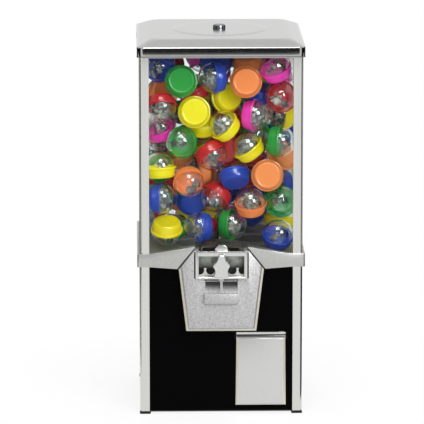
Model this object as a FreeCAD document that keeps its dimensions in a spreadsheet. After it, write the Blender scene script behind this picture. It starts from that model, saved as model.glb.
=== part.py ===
import FreeCAD, Part
import math
import os
import random
import re

import Sketcher

# A square bulk vendor for toy capsules: four slotted metal posts hold black lower panels and a
# clear bin, a coin unit on the front turns a pocket wheel in the bin floor, and a flap gives the
# prize. The origin is on the floor under the middle of the base, +Z is up, the front faces -Y.

os.makedirs("parts", exist_ok=True)
doc = FreeCAD.newDocument("capsule_machine")

# Counts and a share, which are no lengths.
CROWN_TEETH = 50
PINION_TEETH = 10
POCKETS = 5
FILL_SHARE = 0.517  # of the bin, by the balls round the capsules, before the crowded ones go
SWELL_TURNS = 700  # turns in which the poured capsules swell to their full size
REST_TURNS = 60  # turns that they get to spread after each one taken out
CROWDED = 0.45  # mm that one capsule may still lie in its neighbours, all told

# Driving sizes in millimetres: name, size, what it measures.
SIZES = [
    ("body_width", 272, "outer faces of the corner posts, left to right"),
    ("body_depth", 272, "outer faces of the corner posts, front to back"),
    ("foot_height", 3, "rubber pad under each post"),
    ("foot_inset", 0.5, "base ear behind the post faces"),
    ("foot_over", 1.8, "rubber pad outside the post faces"),
    ("base_thick", 2, "steel base plate"),
    ("bolt_place", 111, "stand bolt holes from the middle, both ways"),
    ("bolt_hole", 8.5, "stand bolt hole diameter"),
    ("post_size", 16, "face of a corner post"),
    ("post_round", 5, "outer corner radius of a post"),
    ("post_length", 618, "corner post"),
    ("groove_place", 10, "decor groove from the post's outer face"),
    ("groove_width", 1.2, "decor groove"),
    ("groove_deep", 0.8, "decor groove"),
    ("panel_inset", 4, "post face to panel face"),
    ("pane_thick", 3, "lower panels and windows, which share one slot"),
    ("slot_play", 0.2, "clearance on each side of a pane in its slot"),
    ("slot_deep", 7, "slot in a post"),
    ("pane_bite", 6.2, "how far a pane goes into its slot"),
    ("fit_gap", 0.2, "clearance between fixed neighbours"),
    ("deck_height", 273, "top of the bin deck over the floor"),
    ("deck_thick", 3, "bin deck"),
    ("deck_inset", 0.5, "deck edge behind the pane face"),
    ("deck_play", 1.5, "wheel drum to deck hole"),
    ("window_drop", 11, "post top over the window's upper edge"),
    ("collar_drop", 19.5, "lower edge of the collar band under the deck top"),
    ("collar_high", 22.5, "height of the collar band"),
    ("collar_proud", 4, "collar in front of the post faces"),
    ("shoulder_edge", 3, "shoulder wedge begins inside the post"),
    ("shoulder_rise", 14.5, "shoulder tip over the collar top"),
    ("shoulder_tip", 41, "shoulder tip, from the middle"),
    ("shoulder_deep", 22, "shoulder tip in front of the pane face"),
    ("shoulder_seam", 2.6, "gap between a shoulder and the coin housing, across"),
    ("rail_size", 10, "top rails, square"),
    ("rail_drop", 17, "underside of the top rails under the post top"),
    ("gear_module", 4, "pinion and crown ring"),
    ("gear_play", 0.55, "half of what each tooth is thinner than half a pitch"),
    ("pinion_add", 3.8, "pinion tooth above the pitch circle"),
    ("pinion_ded", 3.2, "pinion tooth below the pitch circle"),
    ("crown_add", 2.4, "crown tooth over the pitch plane"),
    ("crown_ded", 4.6, "crown tooth under the pitch plane"),
    ("crown_ring", 4.4, "thickness of the crown ring under its teeth"),
    ("crown_reach", 7, "crown ring outside its mean radius"),
    ("drum_gap", 9, "drum inside the mean radius of the crown"),
    ("drum_top_gap", 0.5, "drum top under the deck top"),
    ("pocket_radius", 28.5, "wheel pocket"),
    ("pocket_wall", 4.5, "drum wall outside a pocket"),
    ("hub_foot", 1.4, "hub boss that carries the wheel on its floor"),
    ("hub_radius", 16, "hub boss"),
    ("run_gap", 0.05, "running fit, radial"),
    ("end_gap", 0.1, "end play of turning pieces"),
    ("wheel_bush", 8, "outer radius of the wheel bushing"),
    ("plate_thick", 2, "wheel floor plate"),
    ("plate_side", 110, "wheel floor plate, half width"),
    ("outlet_radius", 30, "outlet hole in the wheel floor"),
    ("spacer_radius", 5, "stand-offs of the wheel floor"),
    ("spacer_place", 99, "stand-offs from the middle, both ways"),
    ("rod_radius", 4.75, "centre rod"),
    ("rod_over", 4, "centre rod longer than a post"),
    ("rod_hole_gap", 1.25, "rod hole in the wheel floor, radial"),
    ("socket_radius", 9, "rod socket on the base"),
    ("socket_height", 20, "rod socket on the base"),
    ("guard_rise", 15.5, "top of the outlet guard over the deck"),
    ("guard_thick", 1.5, "outlet guard"),
    ("guard_half", 36, "outlet guard, half width front to back"),
    ("guard_leg", 6, "outlet guard leg"),
    ("guard_step", 6, "guard leg outside the deck hole"),
    ("chute_wall", 1.5, "capsule chute sheet"),
    ("chute_edge", 4.6, "inside right wall of the chute inside the flap's edge"),
    ("chute_clear", 1, "chute wall outside the outlet hole"),
    ("chute_low", 18, "chute floor at the flap"),
    ("chute_drop", 2, "chute roof at the flap under the flap pin"),
    ("chute_rise", 6, "chute floor at the back over the flap pin"),
    ("door_margin", 1.5, "panel opening inside the chute walls"),
    ("flap_over", 2.4, "flap edge outside the chute's left wall"),
    ("flap_edge", 12.4, "flap edge inside the right post"),
    ("flap_flare", 1.3, "flap wider at its foot, each side"),
    ("flap_low", 15.5, "flap foot over the floor"),
    ("flap_deep", 8, "flap tray, front to back"),
    ("flap_bevel", 4.5, "bevel round the flap's front"),
    ("flap_sheet", 1.8, "flap skin"),
    ("flap_drop", 3, "top of the flap tray under its pin"),
    ("pin_drop", 12.6, "flap pin under the housing's foot"),
    ("pin_out", 5, "flap pin in front of the panel"),
    ("pin_radius", 1.5, "flap pin"),
    ("knuckle_radius", 3, "flap knuckle"),
    ("ear_thick", 3, "hinge ear"),
    ("ear_gap", 0.4, "hinge ear to knuckle"),
    ("ear_low", 4, "hinge ear under the pin"),
    ("ear_front", 2.9, "hinge ear in front of the pin"),
    ("hood_low", 4.7, "hood strip over the pin"),
    ("hood_thick", 3.8, "hood strip"),
    ("hood_out", 11, "hood strip in front of the panel"),
    ("mech_drop", 13, "handle axis under the deck top"),
    ("housing_deep", 24, "housing front from the panel face"),
    ("housing_drop", 113.4, "foot of the coin housing under the handle axis"),
    ("housing_foot", 58.5, "half width of the housing at its foot"),
    ("waist_drop", 8, "housing's widest place under the handle axis"),
    ("housing_wide", 71, "half width of the housing at its widest"),
    ("housing_rise", 24, "top of the coin housing over the handle axis"),
    ("housing_bevel", 6, "bevel of the housing front"),
    ("notch_sill", 2, "housing wall over the recess, under the notch in its top"),
    ("housing_wall", 5, "housing front wall over its hollow"),
    ("hollow_foot", 6.4, "foot of the hollow over the housing's foot"),
    ("hollow_drop", 55, "top of the hollow under the handle axis"),
    ("hollow_half", 49, "half width of the hollow"),
    ("bezel_half", 43.25, "half width of the bezel"),
    ("bezel_drop", 23, "foot of the bezel under the handle axis"),
    ("bezel_high", 47.6, "height of the bezel"),
    ("bezel_side", 5.25, "bezel side bars"),
    ("bezel_sill", 3.6, "bezel lower bar"),
    ("bezel_bar", 8.4, "bezel upper bar"),
    ("bezel_thick", 4, "bezel in front of the housing"),
    ("bezel_round", 3, "bezel outer corners"),
    ("recess_deep", 16, "recess behind the bezel"),
    ("face_thick", 2, "face plate"),
    ("shelf_deep", 8, "scalloped shelf in front of the face plate"),
    ("shelf_high", 13.5, "scalloped shelf over the recess foot"),
    ("scallop_radius", 7.4, "scallops in the shelf"),
    ("scallop_step", 18, "scallop from the middle"),
    ("scallop_outer", 36, "outer scallop from the middle"),
    ("scallop_height", 9.8, "scallop centre over the recess foot"),
    ("slot_height", 2.2, "coin slots"),
    ("slot_top", 0.8, "coin slot under the bezel"),
    ("slot_inner", 4, "coin slot, inner end from the middle"),
    ("slot_outer", 28.5, "coin slot, outer end from the middle"),
    ("scoop_drop", 47, "foot of the thumb scoops under the handle axis"),
    ("scoop_high", 19.5, "height of the thumb scoops"),
    ("scoop_deep", 7, "thumb scoop at its top"),
    ("scoop_inner", 2.2, "half width of the rib between the scoops"),
    ("scoop_outer", 27, "outer end of the thumb scoops"),
    ("cup_half", 28.5, "half width of the coin cup"),
    ("cup_drop", 64, "foot of the coin cup under the handle axis"),
    ("cup_high", 16.7, "height of the coin cup"),
    ("cup_proud", 7.5, "coin cup in front of the housing"),
    ("cup_wall", 2, "coin cup wall"),
    ("cap_half", 10.5, "half width of the top cap"),
    ("cap_step", 5, "straight side of the top cap"),
    ("cap_high", 10, "height of the top cap"),
    ("cap_crown", 5, "half width of the cap's crown"),
    ("cap_back", 1, "top cap in front of the window"),
    ("handle_gap", 1.5, "handle in front of the bezel"),
    ("handle_thick", 10.5, "handle plate"),
    ("handle_neck", 5.2, "half width of the handle at its top"),
    ("handle_top", 20.3, "handle top over its axis"),
    ("handle_wide", 14.2, "half width of the handle's shoulders"),
    ("handle_waist", 10.8, "half width of the handle's waist"),
    ("handle_foot", 13, "half width of the handle's foot"),
    ("handle_low", 18, "handle foot under its axis"),
    ("handle_round", 1.6, "rounding of the handle's edges"),
    ("hub_out", 9, "handle hub radius"),
    ("hub_clear", 0.6, "hub to face plate, radial"),
    ("hub_length", 18, "handle hub behind the handle plate"),
    ("shaft_radius", 5, "handle shaft"),
    ("shaft_bite", 6, "shaft inside the handle plate"),
    ("bush_radius", 8, "outer radius of the shaft bushing"),
    ("bush_over", 2, "bushing in front of the bearing wall"),
    ("case_half", 33, "half width of the unit case"),
    ("case_wall", 2.5, "unit case sheet"),
    ("case_drop", 35, "foot of the unit case under the handle axis"),
    ("case_rise", 26.5, "top of the unit case over the handle axis"),
    ("case_gap", 1.2, "crown ring to the bearing wall"),
    ("case_over", 1.6, "unit case over the crown teeth"),
    ("case_back", 2.2, "unit case behind the window"),
    ("pinion_width", 9.5, "pinion face"),
    ("clip_thick", 0.8, "shaft clip"),
    ("clip_radius", 8, "shaft clip"),
    ("carrier_radius", 22, "coin carrier"),
    ("carrier_width", 13, "coin carrier"),
    ("carrier_notch", 13, "coin notch width in the carrier"),
    ("notch_deep", 9, "coin notch depth in the carrier"),
    ("case_front_gap", 0.2, "case to the panes"),
    ("funnel_wall", 1.2, "coin funnel sheet"),
    ("funnel_right", 24, "funnel mouth, right edge from the middle"),
    ("funnel_foot", 90, "funnel outlet over the floor"),
    ("funnel_foot_left", 70, "funnel outlet, left edge from the middle"),
    ("funnel_foot_right", 30, "funnel outlet, right edge from the middle"),
    ("funnel_foot_front", 45, "funnel outlet, front edge from the middle"),
    ("funnel_foot_back", 15, "funnel outlet, back edge from the middle"),
    ("drawer_edge", 31, "drawer side inside the left panel"),
    ("drawer_right", 14, "drawer side from the middle"),
    ("drawer_front", 50, "inner end of the drawer from the middle"),
    ("drawer_lift", 3.2, "drawer floor over the base"),
    ("drawer_high", 64, "drawer sides"),
    ("drawer_sheet", 1.5, "drawer sheet"),
    ("drawer_play", 2, "drawer in the panel opening"),
    ("face_rim", 6, "drawer face past the panel opening"),
    ("face_plate", 3, "drawer face plate"),
    ("face_stand", 0.3, "drawer face off the panel"),
    ("guide_wall", 2, "drawer guides"),
    ("guide_shelf", 9, "drawer guide shelf"),
    ("guide_gap", 1, "drawer to its guides"),
    ("guide_end", 41, "front end of the drawer guides from the middle"),
    ("lock_radius", 9, "drawer lock barrel"),
    ("lock_proud", 5, "drawer lock barrel outside the face"),
    ("lock_deep", 14, "drawer lock barrel inside the face"),
    ("lock_height", 50, "drawer lock over the drawer floor"),
    ("core_radius", 5.5, "drawer lock core"),
    ("core_proud", 0.5, "lock cores under the barrel's face"),
    ("key_width", 1.6, "key slot"),
    ("key_length", 7, "key slot"),
    ("key_deep", 6, "key slot"),
    ("lid_over", 3.5, "lid skirt outside the post faces"),
    ("lid_drop", 17, "foot of the lid skirt under the post top"),
    ("skirt_high", 18, "lid skirt"),
    ("crown_inset", 23, "lid crown inside the skirt"),
    ("crown_rise", 10.4, "lid crown"),
    ("lid_sheet", 1.5, "lid sheet"),
    ("lid_round", 11, "corner radius of the skirt"),
    ("crown_round", 16, "corner radius of the crown"),
    ("dish_radius", 78, "raised round field in the lid"),
    ("dish_rise", 1.2, "raised round field in the lid"),
    ("barrel_radius", 10.5, "lid lock barrel"),
    ("barrel_head", 6, "lid lock barrel over the lid"),
    ("barrel_length", 28, "lid lock barrel"),
    ("lid_core", 7, "lid lock core"),
    ("core_length", 25, "lid lock core"),
    ("rod_play", 0.3, "lid lock core over the rod, radial"),
    ("capsule_radius", 27, "rim of a capsule"),
    ("capsule_gap", 0.4, "clear space round each capsule while the bin is filled"),
    ("touch_gap", 0.13, "clear space round each capsule at rest"),
    ("capsule_wall", 1.2, "capsule walls"),
    ("capsule_deep", 18.5, "capsule cap, rim to ring"),
    ("capsule_face", 19, "flat face of a cap"),
    ("fill_drop", 22, "highest capsule centres under the top rails"),
]

# Places that follow from the sizes.
PLACES = [
    ("half_w", "body_width/2"),
    ("half_d", "body_depth/2"),
    ("base_top", "foot_height + base_thick"),
    ("post_top", "base_top + post_length"),
    ("face_x", "half_w - panel_inset"),
    ("face_y", "half_d - panel_inset"),
    ("inner_x", "face_x - pane_thick"),
    ("inner_y", "face_y - pane_thick"),
    ("post_x", "half_w - post_size"),
    ("post_y", "half_d - post_size"),
    ("span_x", "post_x + pane_bite"),
    ("span_y", "post_y + pane_bite"),
    ("deck_low", "deck_height - deck_thick"),
    ("collar_x", "half_w + collar_proud"),
    ("collar_y", "half_d + collar_proud"),
    ("shoulder_y", "face_y + shoulder_deep"),
    ("crown_mean", f"gear_module*{CROWN_TEETH}/2"),
    ("pinion_pitch", f"gear_module*{PINION_TEETH}/2"),
    ("tooth_half", "gear_module*pi/4 - gear_play"),
    ("crown_outer", "crown_mean + crown_reach"),
    ("drum_radius", "crown_mean - drum_gap"),
    ("drum_top", "deck_height - drum_top_gap"),
    ("deck_hole", "drum_radius + deck_play"),
    ("pocket_circle", "drum_radius - pocket_wall - pocket_radius"),
    ("plate_front", "crown_outer - 1"),
    ("guard_out", "deck_hole + guard_step"),
    ("chute_back", "outlet_radius + chute_clear"),
    ("housing_y", "face_y + housing_deep"),
    ("bezel_y", "housing_y + bezel_thick"),
    ("recess_half", "bezel_half - bezel_side"),
    ("recess_y", "housing_y - recess_deep"),
    ("shelf_y", "recess_y + face_thick + shelf_deep"),
    ("handle_back", "bezel_y + handle_gap"),
    ("handle_front", "handle_back + handle_thick"),
    ("hub_end", "handle_back - hub_length"),
    ("pinion_front", "crown_mean + pinion_width/2"),
    ("pinion_back", "crown_mean - pinion_width/2"),
    ("clip_back", "pinion_back - end_gap - clip_thick"),
    ("shaft_end", "clip_back - end_gap"),
    ("bearing_back", "crown_outer + case_gap"),
    ("bearing_front", "bearing_back + case_wall"),
    ("case_front", "inner_y - case_front_gap"),
    ("case_rear", "clip_back - end_gap - case_wall - fit_gap"),
    ("carrier_front", "case_front - case_back"),
    ("pin_y", "face_y + pin_out"),
    ("flap_front", "pin_y + knuckle_radius + 2"),
    ("flap_back", "flap_front - flap_deep"),
    ("drawer_low", "base_top + drawer_lift"),
    ("drawer_top", "drawer_low + drawer_high"),
    ("drawer_face", "face_y + face_stand"),
    ("lock_z", "drawer_low + lock_height"),
    ("window_length", "post_top - window_drop - deck_height"),
    ("window_top", "deck_height + window_length"),
    ("collar_low", "deck_height - collar_drop"),
    ("collar_top", "collar_low + collar_high"),
    ("shoulder_z", "collar_top + shoulder_rise"),
    ("shoulder_start", "post_x - shoulder_edge"),
    ("rail_low", "post_top - rail_drop"),
    ("rod_length", "post_length + rod_over"),
    ("rod_top", "base_top + rod_length"),
    ("guard_top", "deck_height + guard_rise"),
    ("guard_low", "guard_top - guard_thick"),
    ("chute_left", "pocket_circle - outlet_radius"),
    ("flap_left", "chute_left - flap_over"),
    ("flap_width", "post_x - flap_edge - flap_left"),
    ("flap_right", "flap_left + flap_width"),
    ("chute_right", "flap_right - chute_edge"),
    ("mech_height", "deck_height - mech_drop"),
    ("pitch_plane", "mech_height - pinion_pitch"),
    ("crown_tip", "pitch_plane + crown_add"),
    ("crown_root", "pitch_plane - crown_ded"),
    ("wheel_low", "crown_root - crown_ring"),
    ("plate_top", "wheel_low - hub_foot - end_gap"),
    ("plate_low", "plate_top - plate_thick"),
    ("case_cut", "crown_tip + case_over"),
    ("housing_low", "mech_height - housing_drop"),
    ("pin_height", "housing_low - pin_drop"),
    ("flap_top", "pin_height - flap_drop"),
    ("hood_z", "pin_height + hood_low"),
    ("chute_high", "pin_height - chute_drop"),
    ("chute_rear", "pin_height + chute_rise"),
    ("housing_waist", "mech_height - waist_drop"),
    ("housing_top", "mech_height + housing_rise"),
    ("hollow_low", "housing_low + hollow_foot"),
    ("hollow_top", "mech_height - hollow_drop"),
    ("bezel_low", "mech_height - bezel_drop"),
    ("bezel_top", "bezel_low + bezel_high"),
    ("recess_low", "bezel_low + bezel_sill"),
    ("recess_top", "bezel_top - bezel_bar"),
    ("notch_low", "recess_top + notch_sill"),
    ("scoop_low", "mech_height - scoop_drop"),
    ("cup_low", "mech_height - cup_drop"),
    ("case_low", "mech_height - case_drop"),
    ("case_top", "mech_height + case_rise"),
    ("case_roof", "case_top - case_wall"),
    ("drawer_left", "inner_x - drawer_edge"),
    ("lock_x", "-(drawer_left + drawer_right)/2"),
    ("guide_length", "inner_y + guide_end"),
    ("lid_width", "body_width + 2*lid_over"),
    ("lid_x", "lid_width/2"),
    ("lid_depth", "body_depth + 2*lid_over"),
    ("lid_y", "lid_depth/2"),
    ("lid_low", "post_top - lid_drop"),
    ("skirt_top", "lid_low + skirt_high"),
    ("lid_top", "skirt_top + crown_rise"),
    ("barrel_top", "lid_top + dish_rise + barrel_head"),
    ("barrel_low", "barrel_top - barrel_length"),
    ("core_top", "barrel_top - core_proud"),
    ("core_low", "core_top - core_length"),
    ("fill_top", "rail_low - fill_drop"),
]

dims = doc.addObject("Spreadsheet::Sheet", "dims")
for row, (alias, size, note) in enumerate(SIZES, 1):
    dims.set(f"A{row}", note)
    dims.set(f"B{row}", str(size))
    dims.setAlias(f"B{row}", alias)
doc.recompute()

OWN_NAMES = {alias for alias, formula in PLACES}
REFERENCES = {alias: f"dims.{alias}" for alias, size, note in SIZES}
WORD = re.compile(r"[a-z][a-z_0-9]*")

places = doc.addObject("Spreadsheet::Sheet", "places")
for row, (alias, formula) in enumerate(PLACES, 1):
    tied = WORD.sub(lambda word: REFERENCES.get(word.group(0), word.group(0)), formula)
    places.set(f"A{row}", alias)
    places.set(f"B{row}", "=" + tied)
    places.setAlias(f"B{row}", alias)
    doc.recompute()
REFERENCES.update({alias: f"places.{alias}" for alias in OWN_NAMES})

NODES = {}


def tied(text):
    """A formula in plain names, written with the two sheets' cells."""
    return WORD.sub(lambda word: REFERENCES.get(word.group(0), word.group(0)), text)


def bind(thing, path, text):
    thing.setExpression(path, tied(text))


def number(text):
    """What a formula comes to now."""
    found = places.evalExpression(tied(text))
    return float(getattr(found, "Value", found))


def keep(label, thing):
    """Name a finished piece; its label is also its file's name."""
    thing.Label = label
    NODES[label] = thing
    return thing


# Drawing outlines

def sign(value):
    return 0 if abs(value) < 1e-6 else (1 if value > 0 else -1)


def rounded_knots(points):
    """The corner points, with each rounded corner as two knots that an arc joins."""
    plain = [(number(point[0]), number(point[1])) for point in points]
    knots = []
    for place, point in enumerate(points):
        if len(point) == 2:
            knots.append((point[0], point[1], None, None))
            continue
        x, y, radius = point
        for step in (-1, 1):
            other = plain[(place + step) % len(points)]
            along_x = sign(other[0] - plain[place][0])
            along_y = sign(other[1] - plain[place][1])
            knot_x = f"{x} + {along_x}*({radius})"
            knot_y = f"{y} + {along_y}*({radius})"
            knots.append((knot_x, knot_y, radius if step < 0 else None, plain[place]))
    return knots


def add_arc(sketch, start, end, corner, radius):
    """A quarter arc from start to end round a right-angled corner."""
    centre = start + end - corner
    turn = (corner - start).cross(end - corner).z
    first, last = (start, end) if turn > 0 else (end, start)
    angles = [math.atan2(spot.y - centre.y, spot.x - centre.x) for spot in (first, last)]
    if angles[1] < angles[0]:
        angles[1] += 2*math.pi
    circle = Part.Circle(centre, FreeCAD.Vector(0, 0, 1), radius)
    made = sketch.addGeometry(Part.ArcOfCircle(circle, angles[0], angles[1]), False)
    return (made, 1, 2) if turn > 0 else (made, 2, 1)


def tie_point(sketch, geometry, end, x, y):
    """Hold one end of a line at a place in the sheet."""
    for kind, text in (("DistanceX", x), ("DistanceY", y)):
        rule = Sketcher.Constraint(kind, -1, 1, geometry, end, number(text))
        place = sketch.addConstraint(rule)
        bind(sketch, f"Constraints[{place}]", text)


def draw_outline(sketch, points):
    """A closed outline whose corners are tied to the sheet."""
    knots = rounded_knots(points)
    spots = [FreeCAD.Vector(number(knot[0]), number(knot[1]), 0) for knot in knots]
    pieces = []
    for place, knot in enumerate(knots):
        start, end = spots[place], spots[(place + 1) % len(knots)]
        if knot[2] is None:
            made = sketch.addGeometry(Part.LineSegment(start, end), False)
            pieces.append((made, 1, 2))
            continue
        corner = FreeCAD.Vector(knot[3][0], knot[3][1], 0)
        pieces.append(add_arc(sketch, start, end, corner, number(knot[2])))
    for place, knot in enumerate(knots):
        before, here = pieces[place - 1], pieces[place]
        sketch.addConstraint(Sketcher.Constraint("Coincident", before[0], before[2], here[0], here[1]))
        tie_point(sketch, here[0], here[1], knot[0], knot[1])
        if knot[2] is not None:
            rule = Sketcher.Constraint("Radius", here[0], number(knot[2]))
            place_of_rule = sketch.addConstraint(rule)
            bind(sketch, f"Constraints[{place_of_rule}]", knot[2])


def draw_circle(sketch, x, y, radius):
    centre = FreeCAD.Vector(number(x), number(y), 0)
    made = sketch.addGeometry(Part.Circle(centre, FreeCAD.Vector(0, 0, 1), number(radius)), False)
    tie_point(sketch, made, 3, x, y)
    place = sketch.addConstraint(Sketcher.Constraint("Radius", made, number(radius)))
    bind(sketch, f"Constraints[{place}]", radius)


def draw(sketch, outline):
    """A list is an outline of corners, a triple is a circle."""
    if isinstance(outline, list):
        draw_outline(sketch, outline)
    else:
        draw_circle(sketch, *outline)


def rectangle(x0, x1, y0, y1, radius=None):
    corners = [(x0, y0), (x1, y0), (x1, y1), (x0, y1)]
    return corners if radius is None else [corner + (radius,) for corner in corners]


def mirrored(half):
    """Close an outline that is the same left and right, from its right half, foot to top."""
    return half + [("-(" + x + ")", y) for x, y in reversed(half)]


def four_quarters(chain):
    """Close an outline that is the same in all four quarters, from its first quarter."""
    back = list(reversed(chain))
    second = [("-(" + x + ")", y) for x, y in back]
    third = [("-(" + x + ")", "-(" + y + ")") for x, y in chain]
    fourth = [(x, "-(" + y + ")") for x, y in back]
    return chain + second + third + fourth


# Bodies and plain solids

class Piece:
    """A body that pads build up and pockets cut, each between two planes."""

    def __init__(self, label):
        self.body = doc.addObject("PartDesign::Body", label)
        self.label = label
        keep(label, self.body)

    def origin(self, role):
        return [part for part in self.body.Origin.OriginFeatures if part.Role == role][0]

    def sketch(self, plane, at, outlines):
        sketch = self.body.newObject("Sketcher::SketchObject", self.label + "_sketch")
        sketch.AttachmentSupport = [(self.origin(plane + "_Plane"), "")]
        sketch.MapMode = "FlatFace"
        bind(sketch, "AttachmentOffset.Base.z", f"-({at})" if plane == "XZ" else at)
        for outline in outlines:
            draw(sketch, outline)
        return sketch

    def feature(self, kind, plane, at, start, end, outlines):
        made = self.body.newObject("PartDesign::" + kind, self.label + "_" + kind.lower())
        made.Profile = self.sketch(plane, at, outlines)
        bind(made, "Length", f"({end}) - ({start})")
        doc.recompute()
        return made

    def pad(self, plane, start, end, *outlines):
        at = end if plane == "XZ" else start
        return self.feature("Pad", plane, at, start, end, outlines)

    def pocket(self, plane, start, end, *outlines):
        before = self.body.Shape.Volume
        at = start if plane == "XZ" else end
        made = self.feature("Pocket", plane, at, start, end, outlines)
        if self.body.Shape.Volume > before - 1e-3:
            raise ValueError(f"a pocket of {self.label} cuts nothing")
        return made

    def ring(self, original, count):
        """Copies of a feature round the Z or Y axis of the body."""
        made = self.body.newObject("PartDesign::PolarPattern", self.label + "_ring")
        made.Originals = [original]
        made.Axis = (self.origin("Z_Axis"), [""])
        made.Angle = 360
        made.Occurrences = count
        self.body.Tip = made
        doc.recompute()
        return made

    def edges(self, test):
        found = self.body.Tip.Shape.Edges
        return [f"Edge{place}" for place, edge in enumerate(found, 1) if test(edge)]

    def dress(self, kind, amount, text, test):
        base = self.body.Tip
        names = self.edges(test)
        made = self.body.newObject("PartDesign::" + kind, self.label + "_" + kind.lower())
        made.Base = (base, names)
        bind(made, amount, text)
        doc.recompute()
        return made

    def round_edges(self, text, test):
        return self.dress("Fillet", "Radius", text, test)

    def bevel_edges(self, text, test):
        return self.dress("Chamfer", "Size", text, test)


def lies_along(edge, axis):
    """Whether a straight edge runs along X, Y or Z."""
    if edge.Curve.TypeId != "Part::GeomLine":
        return False
    step = edge.Vertexes[1].Point - edge.Vertexes[0].Point
    others = [abs(part) for place, part in enumerate(step) if place != axis]
    return max(others) < 1e-6


def within(edge, axis, text):
    """Whether both ends of an edge lie on a plane across X, Y or Z."""
    return all(abs(vertex.Point[axis] - number(text)) < 1e-4 for vertex in edge.Vertexes)


def block(label, across, deep, high):
    made = doc.addObject("Part::Box", label)
    for size, base, (low, top) in (("Length", "x", across), ("Width", "y", deep), ("Height", "z", high)):
        bind(made, size, f"({top}) - ({low})")
        bind(made, "Placement.Base." + base, low)
    return made


TURNS = {"X": (FreeCAD.Vector(0, 1, 0), 90), "Y": (FreeCAD.Vector(1, 0, 0), -90), "Z": (FreeCAD.Vector(0, 0, 1), 0)}


def cylinder(label, axis, centre, radius, start, end):
    """A cylinder along an axis; centre gives the other two coordinates in order."""
    made = doc.addObject("Part::Cylinder", label)
    made.Placement = FreeCAD.Placement(FreeCAD.Vector(), FreeCAD.Rotation(*TURNS[axis]))
    bind(made, "Radius", radius)
    bind(made, "Height", f"({end}) - ({start})")
    others = [name for name in "XYZ" if name != axis]
    for name, text in list(zip(others, centre)) + [(axis, start)]:
        bind(made, "Placement.Base." + name.lower(), text)
    return made


def cut(label, base, *tools):
    made = doc.addObject("Part::Cut", label)
    made.Base = base
    made.Tool = tools[0] if len(tools) == 1 else join(label + "_tools", *tools)
    return made


def join(label, *solids):
    made = doc.addObject("Part::MultiFuse", label)
    made.Shapes = list(solids)
    return made


def group(label, solids):
    """Alike pieces that share one node, each a solid of its own."""
    made = doc.addObject("Part::Compound", label)
    made.Links = solids
    return made


def tube(label, axis, centre, outer, inner, start, end):
    shell = cylinder(label + "_outer", axis, centre, outer, start, end)
    bore = cylinder(label + "_bore", axis, centre, inner, start, end)
    return cut(label, shell, bore)


def loft(label, sections):
    """A straight-sided solid through level outlines: height and outline of each."""
    made = doc.addObject("Part::Loft", label)
    sketches = []
    for height, outline in sections:
        sketch = doc.addObject("Sketcher::SketchObject", label + "_section")
        bind(sketch, "Placement.Base.z", height)
        draw(sketch, outline)
        sketches.append(sketch)
    doc.recompute()
    made.Sections = sketches
    made.Solid = True
    made.Ruled = True
    return made


SIDES = (("left", "-1"), ("right", "1"))
ENDS = (("front", "-1"), ("back", "1"))

# Base plate: sheet steel with an ear under each post, four stand bolt holes
base = Piece("base_plate")
base.pad("XY", "foot_height", "base_top", four_quarters([
    ("face_x - foot_inset", "post_y"),
    ("half_w - foot_inset", "post_y"),
    ("half_w - foot_inset", "half_d - foot_inset"),
    ("post_x", "half_d - foot_inset"),
    ("post_x", "face_y - foot_inset"),
]))
base.pocket("XY", "foot_height", "base_top", *[
    (f"{side}*bolt_place", f"{end}*bolt_place", "bolt_hole/2") for side in ("-1", "1") for end in ("-1", "1")])

# Foot pads: one moulded rubber pad under each ear
pads = []
for side_name, side in SIDES:
    for end_name, end in ENDS:
        across = sorted((f"{side}*(post_x - foot_over)", f"{side}*(half_w + foot_over)"), key=number)
        deep = sorted((f"{end}*(post_y - foot_over)", f"{end}*(half_d + foot_over)"), key=number)
        pads.append(block(f"pad_{end_name}_{side_name}", across, deep, ("0", "foot_height")))
keep("foot_pads", group("foot_pads", pads))


# Corner posts: aluminium extrusion with two pane slots, a decor groove and a round outer corner
def post_outline(side, end):
    near, far = "panel_inset - slot_play", "panel_inset + pane_thick + slot_play"
    floor = "post_size - slot_deep"
    lip, edge = "groove_place - groove_width/2", "groove_place + groove_width/2"
    steps = [
        ("0", "0", "post_round"), (lip, "0"), (lip, "groove_deep"), (edge, "groove_deep"), (edge, "0"),
        ("post_size", "0"), ("post_size", near), (floor, near), (floor, far), ("post_size", far),
        ("post_size", "post_size"), (far, "post_size"), (far, floor), (near, floor), (near, "post_size"),
        ("0", "post_size"), ("0", edge), ("groove_deep", edge), ("groove_deep", lip), ("0", lip),
    ]
    return [(f"{side}*(half_w - ({step[0]}))", f"{end}*(half_d - ({step[1]}))") + step[2:] for step in steps]


for side_name, side in SIDES:
    for end_name, end in ENDS:
        post = Piece(f"post_{end_name}_{side_name}")
        post.pad("XY", "base_top", "post_top", post_outline(side, end))

# Lower panels: black laminated board in the post slots
back_hole = rectangle("-(drawer_left + drawer_play)", "-drawer_right + drawer_play",
                      "drawer_low - 1", "drawer_top + drawer_play")
door_hole = rectangle("chute_left + door_margin", "chute_right - door_margin",
                      "chute_low + door_margin", "chute_high - door_margin")
front_panel = Piece("front_panel")
front_panel.pad("XZ", "-face_y", "-inner_y", rectangle("-span_x", "span_x", "base_top", "deck_low"))
front_panel.pocket("XZ", "-face_y", "-inner_y", door_hole)
front_panel.pocket("XZ", "-face_y", "-inner_y", rectangle(
    "-(case_half + case_wall)", "case_half + case_wall", "case_low - case_wall", "deck_low"))
back_panel = Piece("back_panel")
back_panel.pad("XZ", "inner_y", "face_y", rectangle("-span_x", "span_x", "base_top", "deck_low"))
back_panel.pocket("XZ", "inner_y", "face_y", back_hole)
for side_name, across in (("left", ("-face_x", "-inner_x")), ("right", ("inner_x", "face_x"))):
    panel = block(f"{side_name}_panel", across, ("-span_y", "span_y"), ("base_top", "deck_low"))
    keep(f"{side_name}_panel", panel)
    window = block(f"{side_name}_window", across, ("-span_y", "span_y"), ("deck_height", "window_top"))
    keep(f"{side_name}_window", window)
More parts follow.
